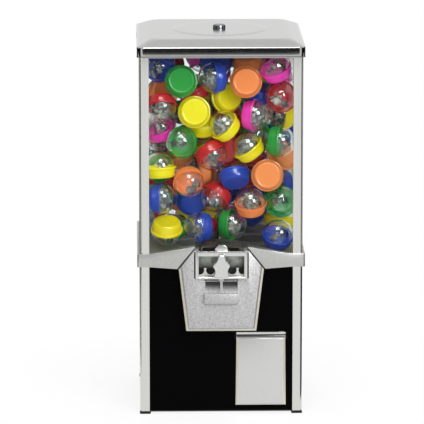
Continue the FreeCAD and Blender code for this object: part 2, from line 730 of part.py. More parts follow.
for end_name, deep in (("front", ("-face_y", "-inner_y")), ("back", ("inner_y", "face_y"))):
    window = block(f"{end_name}_window", ("-span_x", "span_x"), deep, ("deck_height", "window_top"))
    keep(f"{end_name}_window", window)

# Collar band: cast trim round all four posts; the front ones rise to the coin unit as wedges
for side_name, side in SIDES:
    collar = Piece(f"collar_front_{side_name}")
    collar.pad("XZ", "-shoulder_y", "-face_y", [
        (f"{side}*collar_x", "collar_low"), (f"{side}*collar_x", "collar_top"),
        (f"{side}*shoulder_start", "collar_top"), (f"{side}*(shoulder_tip + shoulder_seam)", "shoulder_z"),
        (f"{side}*(housing_wide + shoulder_seam)", "housing_waist"), (f"{side}*shoulder_start", "collar_low")])
    collar.pocket("XY", "collar_low - shoulder_rise", "shoulder_z + shoulder_rise", [
        (f"{side}*(collar_x + 1)", "-(shoulder_y + 1)"), (f"{side}*(collar_x + 1)", "-collar_y"),
        (f"{side}*shoulder_start", "-collar_y"), (f"{side}*shoulder_tip", "-shoulder_y"),
        (f"{side}*shoulder_tip", "-(shoulder_y + 1)")])
    collar.pocket("XY", "collar_low - shoulder_rise", "shoulder_z", rectangle(
        f"{side}*(post_x - fit_gap)", f"{side}*(collar_x + 1)", "-half_d", "-(face_y - 1)"))
    bar = block(f"collar_{side_name}_bar", sorted((f"{side}*half_w", f"{side}*collar_x"), key=number),
                ("-half_d", "half_d"), ("collar_low", "collar_top"))
    fill = block(f"collar_{side_name}_fill", sorted((f"{side}*half_w", f"{side}*face_x"), key=number),
                 ("-(post_y - fit_gap)", "post_y - fit_gap"), ("collar_low", "collar_top"))
    keep(f"collar_{side_name}", join(f"collar_{side_name}", bar, fill))
bar = block("collar_back_bar", ("-collar_x", "collar_x"), ("half_d", "collar_y"), ("collar_low", "collar_top"))
fill = block("collar_back_fill", ("-(post_x - fit_gap)", "post_x - fit_gap"), ("face_y", "half_d"),
             ("collar_low", "collar_top"))
keep("collar_back", join("collar_back", bar, fill))

# Top rails: square bars between the posts, inside the windows
rail_z = ("rail_low", "rail_low + rail_size")
rails = [
    block("rail_front", ("-(post_x - fit_gap)", "post_x - fit_gap"), ("-inner_y", "-inner_y + rail_size"), rail_z),
    block("rail_back", ("-(post_x - fit_gap)", "post_x - fit_gap"), ("inner_y - rail_size", "inner_y"), rail_z),
    block("rail_left", ("-inner_x", "-inner_x + rail_size"),
          ("-(inner_y - rail_size - fit_gap)", "inner_y - rail_size - fit_gap"), rail_z),
    block("rail_right", ("inner_x - rail_size", "inner_x"),
          ("-(inner_y - rail_size - fit_gap)", "inner_y - rail_size - fit_gap"), rail_z),
]
keep("top_rails", group("top_rails", rails))

# Bin deck: plate between panels and windows, with the wheel hole and a notch for the unit case
deck = Piece("hopper_deck")
deck.pad("XY", "deck_low", "deck_height", four_quarters([
    ("face_x - deck_inset", "post_y - fit_gap"), ("post_x - fit_gap", "post_y - fit_gap"),
    ("post_x - fit_gap", "face_y - deck_inset")]))
deck.pocket("XY", "deck_low", "deck_height", ("0", "0", "deck_hole"))
deck.pocket("XY", "deck_low", "deck_height", rectangle(
    "-(case_half + fit_gap)", "case_half + fit_gap", "-face_y", "-(pinion_back - pinion_width)"))

# Wheel floor: plate under the wheel with the outlet hole, hung from the deck on four stand-offs
floor = Piece("wheel_floor")
floor.pad("XY", "plate_low", "plate_top", rectangle("-plate_side", "plate_side", "-plate_front", "plate_side"))
floor.pocket("XY", "plate_low", "plate_top", ("pocket_circle", "0", "outlet_radius"),
             ("0", "0", "rod_radius + rod_hole_gap"))
spacers = []
for side_name, side in SIDES:
    for end_name, end in ENDS:
        place = (f"{side}*spacer_place", f"{end}*spacer_place")
        spacers.append(cylinder(f"spacer_{end_name}_{side_name}", "Z", place, "spacer_radius", "plate_top", "deck_low"))
keep("floor_spacers", group("floor_spacers", spacers))

# Centre rod and its welded socket: the rod holds the lid down through the whole machine
keep("rod_socket", tube("rod_socket", "Z", ("0", "0"), "socket_radius", "rod_radius",
                        "base_top", "base_top + socket_height"))
keep("center_rod", cylinder("center_rod", "Z", ("0", "0"), "rod_radius", "base_top", "rod_top"))

# Capsule wheel: moulded drum with open pockets and a crown ring whose teeth point up
wheel = Piece("capsule_wheel")
wheel.pad("XY", "wheel_low", "drum_top", ("0", "0", "drum_radius"))
wheel.pad("XY", "wheel_low", "crown_root", ("0", "0", "crown_outer"))
wheel.pad("XY", "wheel_low - hub_foot", "wheel_low", ("0", "0", "hub_radius"))
wheel.pocket("XY", "wheel_low - hub_foot", "drum_top", ("0", "0", "wheel_bush"))
pocket = wheel.pocket("XY", "wheel_low", "drum_top", ("pocket_circle", "0", "pocket_radius"))
wheel.ring(pocket, POCKETS)
crown_slope = "tan(20)"
tooth = wheel.pad("YZ", "drum_radius - pocket_wall/2", "crown_outer", [
    (f"-(tooth_half + crown_ded*{crown_slope})", "crown_root - crown_ring/2"),
    (f"tooth_half + crown_ded*{crown_slope}", "crown_root - crown_ring/2"),
    (f"tooth_half + crown_ded*{crown_slope}", "crown_root"),
    (f"tooth_half - crown_add*{crown_slope}", "crown_tip"),
    (f"-(tooth_half - crown_add*{crown_slope})", "crown_tip"),
    (f"-(tooth_half + crown_ded*{crown_slope})", "crown_root")])
wheel.ring(tooth, CROWN_TEETH)
keep("wheel_bushing", tube("wheel_bushing", "Z", ("0", "0"), "wheel_bush", "rod_radius + run_gap",
                           "wheel_low - hub_foot", "drum_top"))

# Outlet guard: bent plate on two legs over the pocket that is above the outlet
guard_parts = [block("guard_plate", ("chute_left", "guard_out + guard_leg"), ("-guard_half", "guard_half"),
                     ("guard_low", "guard_top"))]
for end_name, deep in (("front", ("-guard_half", "-guard_half + guard_leg")),
                       ("back", ("guard_half - guard_leg", "guard_half"))):
    guard_parts.append(block(f"guard_leg_{end_name}", ("guard_out", "guard_out + guard_leg"), deep,
                             ("deck_height", "guard_low")))
keep("capsule_guard", join("capsule_guard", *guard_parts))

# Capsule chute: folded sheet duct from the outlet down to the flap
chute = Piece("capsule_chute")
chute.pad("YZ", "chute_left - chute_wall", "chute_right + chute_wall", [
    ("chute_back + chute_wall", "plate_low"), ("-(chute_back + chute_wall)", "plate_low"),
    ("-inner_y", "chute_high + 1.5*chute_wall"), ("-inner_y", "chute_low - 1.4*chute_wall"),
    ("chute_back + chute_wall", "chute_rear - chute_wall")])
chute.pocket("YZ", "chute_left", "chute_right", [
    ("chute_back", "plate_low + 1"), ("-chute_back", "plate_low + 1"), ("-chute_back", "plate_low"),
    ("-inner_y", "chute_high"), ("-(inner_y + 1)", "chute_high"), ("-(inner_y + 1)", "chute_low"),
    ("-inner_y", "chute_low"), ("chute_back", "chute_rear")])

# Hinge hood: strip over the flap on a flange, with an ear at each end that holds the pin
hood_left, hood_right = "flap_left - ear_gap", "flap_right + ear_gap"
hood_strip = block("hood_strip", ("flap_left", "flap_right"), ("-(face_y + hood_out)", "-face_y"),
                   ("hood_z", "hood_z + hood_thick"))
hood_flange = block("hood_flange", (f"{hood_left} - ear_thick", f"{hood_right} + ear_thick"),
                    ("-(pin_y + ear_front)", "-face_y"), ("hood_z", "hood_z + hood_thick"))
ears = []
for side_name, across in (("left", (f"{hood_left} - ear_thick", hood_left)),
                          ("right", (hood_right, f"{hood_right} + ear_thick"))):
    ears.append(block(f"ear_{side_name}", across, ("-(pin_y + ear_front)", "-face_y"),
                      ("pin_height - ear_low", "hood_z")))
hood_solid = join("hood_solid", hood_strip, hood_flange, *ears)
pin_ends = (f"{hood_left} - ear_thick", f"{hood_right} + ear_thick")
pin_hole = cylinder("hood_pin_hole", "X", ("-pin_y", "pin_height"), "pin_radius", *pin_ends)
keep("flap_hood", cut("flap_hood", hood_solid, pin_hole))
keep("flap_pin", cylinder("flap_pin", "X", ("-pin_y", "pin_height"), "pin_radius", *pin_ends))

# Prize flap: pressed tray with bevelled edges, hung on a rolled knuckle
flap = Piece("prize_flap")
flap.pad("XZ", "-flap_front", "-flap_back", [
    ("flap_left", "flap_top"), ("flap_left - flap_flare", "flap_low"),
    ("flap_right + flap_flare", "flap_low"), ("flap_right", "flap_top")])
flap.bevel_edges("flap_bevel", lambda edge: within(edge, 1, "-flap_front") and not within(edge, 2, "flap_top"))
flap.pocket("XZ", "-flap_front + flap_sheet", "-flap_back", [
    ("flap_left + flap_bevel", "flap_top - flap_sheet"), ("flap_left + flap_bevel", "flap_low + flap_bevel"),
    ("flap_right - flap_bevel", "flap_low + flap_bevel"), ("flap_right - flap_bevel", "flap_top - flap_sheet")])
flap.pad("YZ", "flap_left", "flap_right", ("-pin_y", "pin_height", "knuckle_radius"))
flap.pad("YZ", "flap_left", "flap_right", rectangle(
    "-(pin_y + knuckle_radius)", "-(pin_y + knuckle_radius - flap_sheet)", "flap_top - flap_sheet", "pin_height"))
flap.pocket("YZ", "flap_left", "flap_right", ("-pin_y", "pin_height", "pin_radius + run_gap"))

# Coin housing: rough zinc casting that carries the coin unit
housing = Piece("coin_housing")
top_half = "(housing_wide - (housing_wide - shoulder_tip)*(housing_top - housing_waist)/(shoulder_z - housing_waist))"
housing.pad("XZ", "-housing_y", "-face_y", mirrored([
    ("housing_foot", "housing_low"), ("housing_wide", "housing_waist"), (top_half, "housing_top")]))
housing.bevel_edges("housing_bevel", lambda edge: within(edge, 1, "-housing_y") and max(
    vertex.Point.z for vertex in edge.Vertexes) < number("housing_waist") + 1e-3)
housing.pocket("XZ", "-housing_y", "-recess_y", rectangle("-recess_half", "recess_half", "recess_low", "recess_top"))
housing.pocket("XZ", "-recess_y", "-face_y", ("0", "mech_height", "hub_out + hub_clear"))
housing.pocket("XZ", "-housing_y", "-face_y", rectangle("-recess_half", "recess_half", "notch_low", "housing_top + 1"))
housing.pocket("XZ", "-housing_y + housing_wall", "-face_y", rectangle(
    "-hollow_half", "hollow_half", "hollow_low", "hollow_top"))
slot_z = ("bezel_low - slot_top - slot_height", "bezel_low - slot_top")
housing.pocket("XZ", "-housing_y", "-face_y", rectangle("slot_inner", "slot_outer", *slot_z),
               rectangle("-slot_outer", "-slot_inner", *slot_z))
scoop = [("-(housing_y + 1)", "scoop_low"), ("-housing_y", "scoop_low"),
         ("-(housing_y - scoop_deep)", "scoop_low + scoop_high"), ("-(housing_y + 1)", "scoop_low + scoop_high")]
housing.pocket("YZ", "scoop_inner", "scoop_outer", scoop)
housing.pocket("YZ", "-scoop_outer", "-scoop_inner", scoop)

# Bezel: plated frame round the handle recess
bezel = Piece("mech_bezel")
bezel.pad("XZ", "-bezel_y", "-housing_y", rectangle("-bezel_half", "bezel_half", "bezel_low", "bezel_top", "bezel_round"))
bezel.pocket("XZ", "-bezel_y", "-housing_y", rectangle("-recess_half", "recess_half", "recess_low", "recess_top"))

# Face plate: back of the recess, with a shelf that four coin scallops bite into
face = Piece("mech_faceplate")
face_half = "recess_half - fit_gap"
face.pad("XZ", "-(recess_y + face_thick)", "-recess_y", rectangle(
    f"-({face_half})", face_half, "recess_low + fit_gap", "recess_top - fit_gap"))
face.pad("XZ", "-shelf_y", "-(recess_y + face_thick)", rectangle(
    f"-({face_half})", face_half, "recess_low + fit_gap", "recess_low + shelf_high"))
scallop_z = "recess_low + scallop_height"
face.pocket("XZ", "-shelf_y", "-(recess_y + face_thick)", ("scallop_step", scallop_z, "scallop_radius"),
            ("-scallop_step", scallop_z, "scallop_radius"))
face.pocket("XZ", "-shelf_y", "-(recess_y + face_thick)", ("scallop_outer", scallop_z, "scallop_radius"),
            ("-scallop_outer", scallop_z, "scallop_radius"))
face.pocket("XZ", "-shelf_y", "-recess_y", ("0", "mech_height", "hub_out + hub_clear"))

# Top cap: stepped cover in the notch of the housing, in front of the window
cap = Piece("mech_cap")
cap.pad("XZ", "-housing_y", "-(face_y + cap_back)", mirrored([
    ("cap_half", "notch_low"), ("cap_half", "housing_top + cap_step"),
    ("(cap_half + cap_crown)/2", "housing_top + (cap_step + cap_high)/2"), ("cap_crown", "housing_top + cap_high")]))

# Coin cup: lip under the thumb scoops, open at the top
cup_shell = block("cup_shell", ("-cup_half", "cup_half"), ("-(housing_y + cup_proud)", "-housing_y"),
                  ("cup_low", "cup_low + cup_high"))
cup_room = block("cup_room", ("-cup_half + cup_wall", "cup_half - cup_wall"),
                 ("-(housing_y + cup_proud - cup_wall)", "-housing_y"),
                 ("cup_low + cup_wall", "cup_low + cup_high"))
keep("coin_cup", cut("coin_cup", cup_shell, cup_room))

# Unit case: sheet case behind the panel; its bearing wall carries the shaft, its hood covers the pinion
case = Piece("mech_case")
case.pad("XY", "case_low", "case_top", rectangle("-case_half", "case_half", "-case_front", "-bearing_back"))
case.pad("XY", "case_cut", "case_top", rectangle("-case_half", "case_half", "-bearing_back", "-case_rear"))
case.pocket("XY", "case_low", "case_roof", rectangle(
    "-(case_half - case_wall)", "case_half - case_wall", "-case_front", "-bearing_front"))
case.pocket("XY", "case_cut", "case_roof", rectangle(
    "-(case_half - case_wall)", "case_half - case_wall", "-bearing_back", "-(case_rear + case_wall)"))
case.pocket("XZ", "-bearing_front", "-bearing_back", ("0", "mech_height", "bush_radius"))
keep("shaft_bushing", tube("shaft_bushing", "Y", ("0", "mech_height"), "bush_radius", "shaft_radius + run_gap",
                           "-(bearing_front + bush_over)", "-(pinion_front + end_gap)"))

# Handle shaft with what turns on it: handle, coin carrier, pinion and clip
keep("handle_shaft", cylinder("handle_shaft", "Y", ("0", "mech_height"), "shaft_radius",
                              "-(handle_back + shaft_bite)", "-shaft_end"))
handle = Piece("turn_handle")
handle.pad("XZ", "-handle_front", "-handle_back", mirrored([
    ("handle_foot - handle_round", "mech_height - handle_low"), ("handle_foot", "mech_height - handle_low + handle_round"),
    ("handle_waist + 1", "mech_height - 12"), ("handle_waist", "mech_height - 7"),
    ("handle_waist + 0.9", "mech_height - 3.5"), ("handle_wide", "mech_height + 0.5"),
    ("handle_wide - 0.3", "mech_height + 4"), ("handle_waist - 0.8", "mech_height + 7.5"),
    ("handle_neck + 1.8", "mech_height + 12"), ("handle_neck", "mech_height + handle_top - handle_round"),
    ("handle_neck - handle_round", "mech_height + handle_top")]))
handle.round_edges("handle_round", lambda edge: within(edge, 1, "-handle_front"))
handle.pad("XZ", "-handle_back", "-hub_end", ("0", "mech_height", "hub_out"))
handle.pocket("XZ", "-(handle_back + shaft_bite)", "-hub_end", ("0", "mech_height", "shaft_radius"))

carrier = Piece("coin_carrier")
carrier_y = ("-carrier_front", "-carrier_front + carrier_width")
carrier.pad("XZ", *carrier_y, ("0", "mech_height", "carrier_radius"))
carrier.pocket("XZ", *carrier_y, ("0", "mech_height", "shaft_radius"))
for low, top in (("-carrier_radius - 1", "-carrier_radius + notch_deep"), ("carrier_radius - notch_deep", "carrier_radius + 1")):
    carrier.pocket("XZ", *carrier_y, rectangle(
        "-carrier_notch/2", "carrier_notch/2", f"mech_height + ({low})", f"mech_height + ({top})"))

pinion = Piece("drive_pinion")
pinion_y = ("-pinion_front", "-pinion_back")
flank = "tan(16)"
pinion.pad("XZ", *pinion_y, ("0", "mech_height", "pinion_pitch - pinion_ded"))


def pinion_tooth(place):
    """One tooth, turned about the shaft by its share of a full turn."""
    angle = f"({place}*360/{PINION_TEETH})"
    steps = [
        ("pinion_pitch - pinion_ded - 2", f"-(tooth_half + pinion_ded*{flank})"),
        ("pinion_pitch - pinion_ded", f"-(tooth_half + pinion_ded*{flank})"),
        ("pinion_pitch", "-tooth_half"),
        ("pinion_pitch + pinion_add", f"-(tooth_half - pinion_add*tan(24))"),
        ("pinion_pitch + pinion_add", f"tooth_half - pinion_add*tan(24)"),
        ("pinion_pitch", "tooth_half"),
        ("pinion_pitch - pinion_ded", f"tooth_half + pinion_ded*{flank}"),
        ("pinion_pitch - pinion_ded - 2", f"tooth_half + pinion_ded*{flank}"),
    ]
    return [(f"({out})*sin({angle}) + ({off})*cos({angle})",
             f"mech_height - ({out})*cos({angle}) + ({off})*sin({angle})") for out, off in steps]


for place in range(PINION_TEETH):
    pinion.pad("XZ", *pinion_y, pinion_tooth(place))
pinion.pocket("XZ", *pinion_y, ("0", "mech_height", "shaft_radius"))
keep("shaft_clip", tube("shaft_clip", "Y", ("0", "mech_height"), "clip_radius", "shaft_radius",
                        "-(pinion_back - end_gap)", "-clip_back"))

# Coin funnel: folded sheet from under the carrier to over the drawer
mouth_left, mouth_right = "-(case_half - case_wall)", "funnel_right"
funnel_top = "case_low - fit_gap"
funnel_shell = loft("funnel_shell", [
    (funnel_top, rectangle(f"{mouth_left} - funnel_wall", f"{mouth_right} + funnel_wall",
                           "-case_front", "-(bearing_front - funnel_wall)")),
    ("funnel_foot", rectangle("-(funnel_foot_left + funnel_wall)", "-(funnel_foot_right - funnel_wall)",
                              "-(funnel_foot_front + funnel_wall)", "-(funnel_foot_back - funnel_wall)"))])
funnel_room = loft("funnel_room", [
    (funnel_top, rectangle(mouth_left, mouth_right, "-(case_front - funnel_wall)", "-bearing_front")),
    ("funnel_foot", rectangle("-funnel_foot_left", "-funnel_foot_right", "-funnel_foot_front", "-funnel_foot_back"))])
keep("coin_funnel", cut("coin_funnel", funnel_shell, funnel_room))

# Cash drawer: sheet tray with a face plate outside the back panel, on two angle guides
tray = block("drawer_tray", ("-drawer_left", "-drawer_right"), ("-drawer_front", "drawer_face"),
             ("drawer_low", "drawer_top"))
room = block("drawer_room", ("-drawer_left + drawer_sheet", "-drawer_right - drawer_sheet"),
             ("-drawer_front + drawer_sheet", "drawer_face - drawer_sheet"),
             ("drawer_low + drawer_sheet", "drawer_top"))
plate = block("drawer_plate", ("-(drawer_left + drawer_play + face_rim)", "-drawer_right + drawer_play + face_rim"),
              ("drawer_face", "drawer_face + face_plate"),
              ("drawer_low", "drawer_top + drawer_play + face_rim"))
tray_shell = cut("drawer_shell", tray, room)
lock_hole = cylinder("drawer_lock_hole", "Y", ("lock_x", "lock_z"), "lock_radius",
                     "drawer_face - 2*drawer_sheet", "drawer_face + face_plate")
keep("cash_drawer", cut("cash_drawer", join("drawer_solid", tray_shell, plate), lock_hole))
guides = []
for side_name, edge, out in (("left", "-(drawer_left + guide_gap)", "-1"), ("right", "-drawer_right + guide_gap", "1")):
    wall = sorted((edge, f"{edge} + {out}*guide_wall"), key=number)
    shelf = sorted((edge, f"{edge} - {out}*guide_shelf"), key=number)
    deep = ("inner_y - guide_length", "inner_y")
    upright = block(f"guide_{side_name}_wall", wall, deep, ("base_top", "drawer_low + drawer_lift"))
    ledge = block(f"guide_{side_name}_shelf", shelf, deep, ("base_top", "drawer_low - fit_gap"))
    guides.append(join(f"guide_{side_name}", upright, ledge))
keep("drawer_guides", group("drawer_guides", guides))


def lock(label, axis, centre, barrel, core, low, top, core_low, core_top, bore):
    """A lock barrel and its core, which turns in it; the key slot is in the core's outer face."""
    shell = cylinder(label + "_barrel_solid", axis, centre, barrel, low, top)
    hollow = cylinder(label + "_barrel_bore", axis, centre, f"{core} + run_gap", low, top)
    keep(label + "_barrel", cut(label + "_barrel", shell, hollow))
    plug = cylinder(label + "_core_solid", axis, centre, core, core_low, core_top)
    across = ("-key_width/2", "key_width/2")
    along = ("-key_length/2", "key_length/2")
    deep = (f"{core_top} - key_deep", f"{core_top}")
    x, other = centre
    spans = {"Y": (across, deep, along), "Z": (across, along, deep)}[axis]
    shift = (x, "0", other) if axis == "Y" else (x, other, "0")
    moved = [tuple(f"({end}) + ({move})" for end in span) for span, move in zip(spans, shift)]
    tools = [block(label + "_key", *moved)]
    if bore:
        tools.append(cylinder(label + "_core_bore", axis, centre, bore[0], core_low, bore[1]))
    keep(label + "_core", cut(label + "_core", plug, *tools))


lock("drawer_lock", "Y", ("lock_x", "lock_z"), "lock_radius", "core_radius",
     "drawer_face + face_plate - lock_deep", "drawer_face + face_plate + lock_proud",
     "drawer_face + face_plate - lock_deep", "drawer_face + face_plate + lock_proud - core_proud", None)


# Lid: pressed steel cover with a hipped crown, a raised round field and a lock on the rod
def lid_outline(inset, radius):
    return rectangle(f"-(lid_x - ({inset}))", f"lid_x - ({inset})", f"-(lid_y - ({inset}))", f"lid_y - ({inset})", radius)


lid_outer = loft("lid_outer", [
    ("lid_low", lid_outline("0", "lid_round")), ("skirt_top", lid_outline("0", "lid_round")),
    ("lid_top", lid_outline("crown_inset", "crown_round"))])
lid_inner = loft("lid_inner", [
    ("lid_low", lid_outline("lid_sheet", "lid_round - lid_sheet")),
    ("skirt_top - lid_sheet/2", lid_outline("lid_sheet", "lid_round - lid_sheet")),
    ("lid_top - lid_sheet", lid_outline("crown_inset + lid_sheet/2", "crown_round - lid_sheet/2"))])
lid_field = cylinder("lid_field", "Z", ("0", "0"), "dish_radius", "lid_top - lid_sheet", "lid_top + dish_rise")
lid_hole = cylinder("lid_hole", "Z", ("0", "0"), "barrel_radius", "lid_top - 2*lid_sheet", "lid_top + dish_rise")
keep("lid", cut("lid", join("lid_solid", cut("lid_shell", lid_outer, lid_inner), lid_field), lid_hole))
lock("lid_lock", "Z", ("0", "0"), "barrel_radius", "lid_core", "barrel_low", "barrel_top",
     "core_low", "core_top", ("rod_radius + rod_play", "rod_top + rod_play"))

doc.recompute()

# Toy capsules: a coloured cap with a ringed flat face and a clear dome, about 54 mm across
cap_master = Piece("capsule_cap_form")
NODES.pop("capsule_cap_form")
cap_profile = [
    ("capsule_radius", "capsule_wall"), ("capsule_radius", "-2*capsule_wall"),
    ("capsule_radius - 1.2*capsule_wall", "-2.7*capsule_wall"),
    ("capsule_radius - 1.8*capsule_wall", "-capsule_deep*0.45"),
    ("capsule_face + 3", "-capsule_deep*0.8"), ("capsule_face + 0.6", "-capsule_deep + capsule_wall"),
    ("capsule_face - 0.4", "-capsule_deep"), ("capsule_face - 2", "-capsule_deep"),
    ("capsule_face - 2.8", "-capsule_deep + capsule_wall"), ("0", "-capsule_deep + capsule_wall"),
    ("0", "-capsule_deep + 2*capsule_wall"), ("capsule_face - 0.8", "-capsule_deep + 2*capsule_wall"),
    ("capsule_face + 1.9", "-capsule_deep*0.8 + capsule_wall"),
    ("capsule_radius - 3*capsule_wall", "-capsule_deep*0.45"),
    ("capsule_radius - 2.6*capsule_wall", "-2*capsule_wall"),
    ("capsule_radius - capsule_wall", "-2*capsule_wall + 0.4"), ("capsule_radius - capsule_wall", "capsule_wall"),
]
cap_sketch = cap_master.sketch("XZ", "0", [cap_profile])
cap_turn = cap_master.body.newObject("PartDesign::Revolution", "capsule_cap_turn")
cap_turn.Profile = cap_sketch
cap_turn.ReferenceAxis = (cap_sketch, ["V_Axis"])
cap_turn.Angle = 360


def half_ball(label, radius, low):
    """A dome over the level z=0 with a short straight skirt under it."""
    ball = doc.addObject("Part::Sphere", label + "_ball")
    bind(ball, "Radius", radius)
    ball.Angle1 = 0
    skirt = cylinder(label + "_skirt", "Z", ("0", "0"), radius, low, "0")
    return join(label, ball, skirt)


dome_radius = "capsule_radius - capsule_wall - run_gap"
dome_form = cut("capsule_dome_form", half_ball("dome_outer", dome_radius, "-2*capsule_wall + 0.5"),
                half_ball("dome_inner", f"{dome_radius} - capsule_wall", "-2*capsule_wall + 0.5"))
doc.recompute()

# The capsules that show at the front window: colour, place across and height as shares of the
# room that their centres have, and where the cap points.
FRONT_CAPSULES = [
    ("blue", -1.03, 0.972, (0.20, 0.73, -0.66)), ("green", -0.679, 0.94, (0.00, -0.97, 0.25)),
    ("blue", -0.128, 0.933, (0.97, 0.21, 0.01)), ("orange", 0.394, 0.926, (0.00, -0.98, 0.20)),
    ("pink", 0.885, 0.986, (0.30, 0.38, -0.87)), ("red", 0.984, 0.845, (0.30, 0.90, -0.08)),
    ("red", -0.974, 0.767, (-0.10, 0.55, 0.84)), ("yellow", -0.423, 0.739, (0.00, -0.98, 0.20)),
    ("yellow", 0.108, 0.655, (0.69, 0.28, -0.67)), ("pink", 0.561, 0.718, (-0.95, 0.29, 0.04)),
    ("yellow", 1.02, 0.69, (0.93, 0.34, -0.07)), ("green", 0.925, 0.556, (-0.97, 0.22, 0.06)),
    ("green", -0.63, 0.542, (0.50, 0.86, -0.02)), ("red", -0.128, 0.475, (-0.55, 0.36, 0.74)),
    ("yellow", 0.453, 0.496, (0.57, 0.15, -0.81)), ("yellow", -1.01, 0.415, (0.05, -0.08, -0.99)),
    ("orange", 1.03, 0.415, (0.50, -0.49, 0.61)), ("orange", -0.492, 0.305, (-0.15, 0.84, 0.52)),
    ("blue", 0.236, 0.323, (0.10, -0.66, -0.73)), ("orange", 0.748, 0.348, (0.00, -0.98, 0.20)),
    ("blue", 1.06, 0.267, (0.95, 0.24, -0.05)), ("blue", -1.01, 0.21, (-0.97, 0.16, 0.02)),
    ("red", -0.0295, 0.217, (0.60, 0.44, 0.65)), ("green", 0.994, 0.161, (0.10, 0.98, -0.20)),
    ("orange", 0.531, 0.15, (0.05, 0.28, -0.96)), ("yellow", -0.885, 0.0481, (0.00, -0.32, 0.95)),
    ("blue", -0.295, 0.0164, (0.95, 0.24, -0.05)), ("green", 0.325, -0.00123, (-0.93, 0.34, -0.07)),
    ("blue", 0.964, 0.00934, (-0.10, 0.43, -0.88)),
]
COLOURS = ("green", "orange", "yellow", "red", "blue", "pink")


class Bin:
    """The room that capsules lie in, and what pushes them apart."""

    def __init__(self, gap, slack):
        self.reach = number(f"capsule_radius + {gap}")
        self.slack = slack
        self.wall_x = number("inner_x") - self.reach
        self.wall_y = number("inner_y") - self.reach
        self.floor = number("deck_height") + self.reach
        self.top = number("fill_top")
        self.post = (number("post_x"), number("post_y"))
        self.rod = number("rod_radius") + self.reach
        self.boxes = [
            [number(text) for text in ("-case_half", "case_half", "-inner_y", "-case_rear", "deck_height", "case_top")],
            [number(text) for text in ("chute_left", "guard_out + guard_leg", "-guard_half", "guard_half",
                                       "deck_height", "guard_top")],
        ]

    def push(self, spot, near):
        """Move a centre away from a point until the capsule clears it."""
        step = spot - near
        if step.Length >= self.reach or step.Length < 1e-9:
            return spot
        return near + step*(self.reach/step.Length)

    def settle(self, spot):
        """The nearest place where one capsule is clear of the bin's own pieces."""
        side, end = math.copysign(1, spot.x), math.copysign(1, spot.y)
        if abs(spot.x) < self.post[0] and abs(spot.y) < self.post[1]:
            corner = FreeCAD.Vector(side*self.post[0], end*self.post[1], spot.z)
            spot = self.push(spot, corner)
        across = math.hypot(spot.x, spot.y)
        if 1e-6 < across < self.rod:
            spot = FreeCAD.Vector(spot.x*self.rod/across, spot.y*self.rod/across, spot.z)
        for x0, x1, y0, y1, z0, z1 in self.boxes:
            near = FreeCAD.Vector(min(max(spot.x, x0), x1), min(max(spot.y, y0), y1), min(max(spot.z, z0), z1))
            spot = self.push(spot, near)
        return FreeCAD.Vector(min(max(spot.x, -self.wall_x), self.wall_x), min(max(spot.y, -self.wall_y), self.wall_y),
                              min(max(spot.z, self.floor), self.top))

    def clear(self, spot, others):
        """Whether a capsule overlaps nothing."""
        if (self.settle(spot) - spot).Length > self.slack:
            return False
        return all((spot - other).Length > 2*(self.reach - self.slack) for other in others)

    def place(self, across, up):
        """A centre behind the front window, from shares of the room."""
        return FreeCAD.Vector(across*self.wall_x, -self.wall_y, self.floor + up*(self.top - self.floor))

    def count(self):
        """How many capsules the bin takes."""
        room = 4*(self.wall_x + self.reach)*(self.wall_y + self.reach)*(self.top - self.floor + 2*self.reach)
        return round(FILL_SHARE*room/(4/3*math.pi*self.reach**3))


def push_apart(room, spots, held, share=1):
    """How far each capsule has to move away from those that it overlaps; held ones stay."""
    moves = [FreeCAD.Vector() for spot in spots]
    for first in range(held, len(spots)):
        for second in range(first):
            step = spots[first] - spots[second]
            gap = 2*share*room.reach - step.Length
            if gap <= 0 or step.Length < 1e-9:
                continue
            shift = step*(gap/step.Length)
            if second < held:
                moves[first] += shift
                continue
            moves[first] += shift*0.5
            moves[second] -= shift*0.5
    return moves


def front_layer(room):
    """Place the capsules of the list close behind the front window, near their own places."""
    own = [room.settle(room.place(x, z)) for colour, x, z, way in FRONT_CAPSULES]
    spots = [FreeCAD.Vector(spot.x, spot.y + 0.5*(place % 2), spot.z) for place, spot in enumerate(own)]
    for turn in range(80):
        moves = push_apart(room, spots, 0)
        for place, move in enumerate(moves):
            back = own[place] - spots[place]
            step = FreeCAD.Vector(0.6*move.x + 0.04*back.x, move.y - 0.15, 0.6*move.z + 0.04*back.z)
            spots[place] = room.settle(spots[place] + step)
    laid = []
    for place in sorted(range(len(spots)), key=lambda number_in_list: spots[number_in_list].y):
        colour, x, z, way = FRONT_CAPSULES[place]
        for step in range(140):
            spot = room.settle(spots[place] + FreeCAD.Vector(0, 0.5*step, 0))
            if room.clear(spot, [other[1] for other in laid]):
                laid.append((colour, spot, FreeCAD.Vector(*way).normalize()))
                break
    return laid


def leanings(room, spot, fixed):
    """Where one capsule would touch the floor, a wall or a fixed capsule, the nearest first."""
    found = [FreeCAD.Vector(spot.x, spot.y, room.floor)]
    found.append(FreeCAD.Vector(math.copysign(room.wall_x, spot.x), spot.y, spot.z))
    found.append(FreeCAD.Vector(spot.x, math.copysign(room.wall_y, spot.y), spot.z))
    for other in fixed:
        step = spot - other
        found.append(other + step*(2*room.reach/step.Length))
    return sorted(found, key=lambda place: (place - spot).Length)


def come_to_rest(laid):
    """Move each capsule, the lowest first, until it leans on the bin or on one that rests."""
    room = Bin("touch_gap", 1e-3)
    spots = [spot for colour, spot, way in laid]
    resting = []
    for place in sorted(range(len(spots)), key=lambda number_in_list: spots[number_in_list].z):
        others = spots[:place] + spots[place + 1:]
        for spot in leanings(room, spots[place], [spots[number_in_list] for number_in_list in resting]):
            if room.clear(spot, others):
                spots[place] = spot
                break
        resting.append(place)
    return [(colour, spots[place], way) for place, (colour, spot, way) in enumerate(laid)]


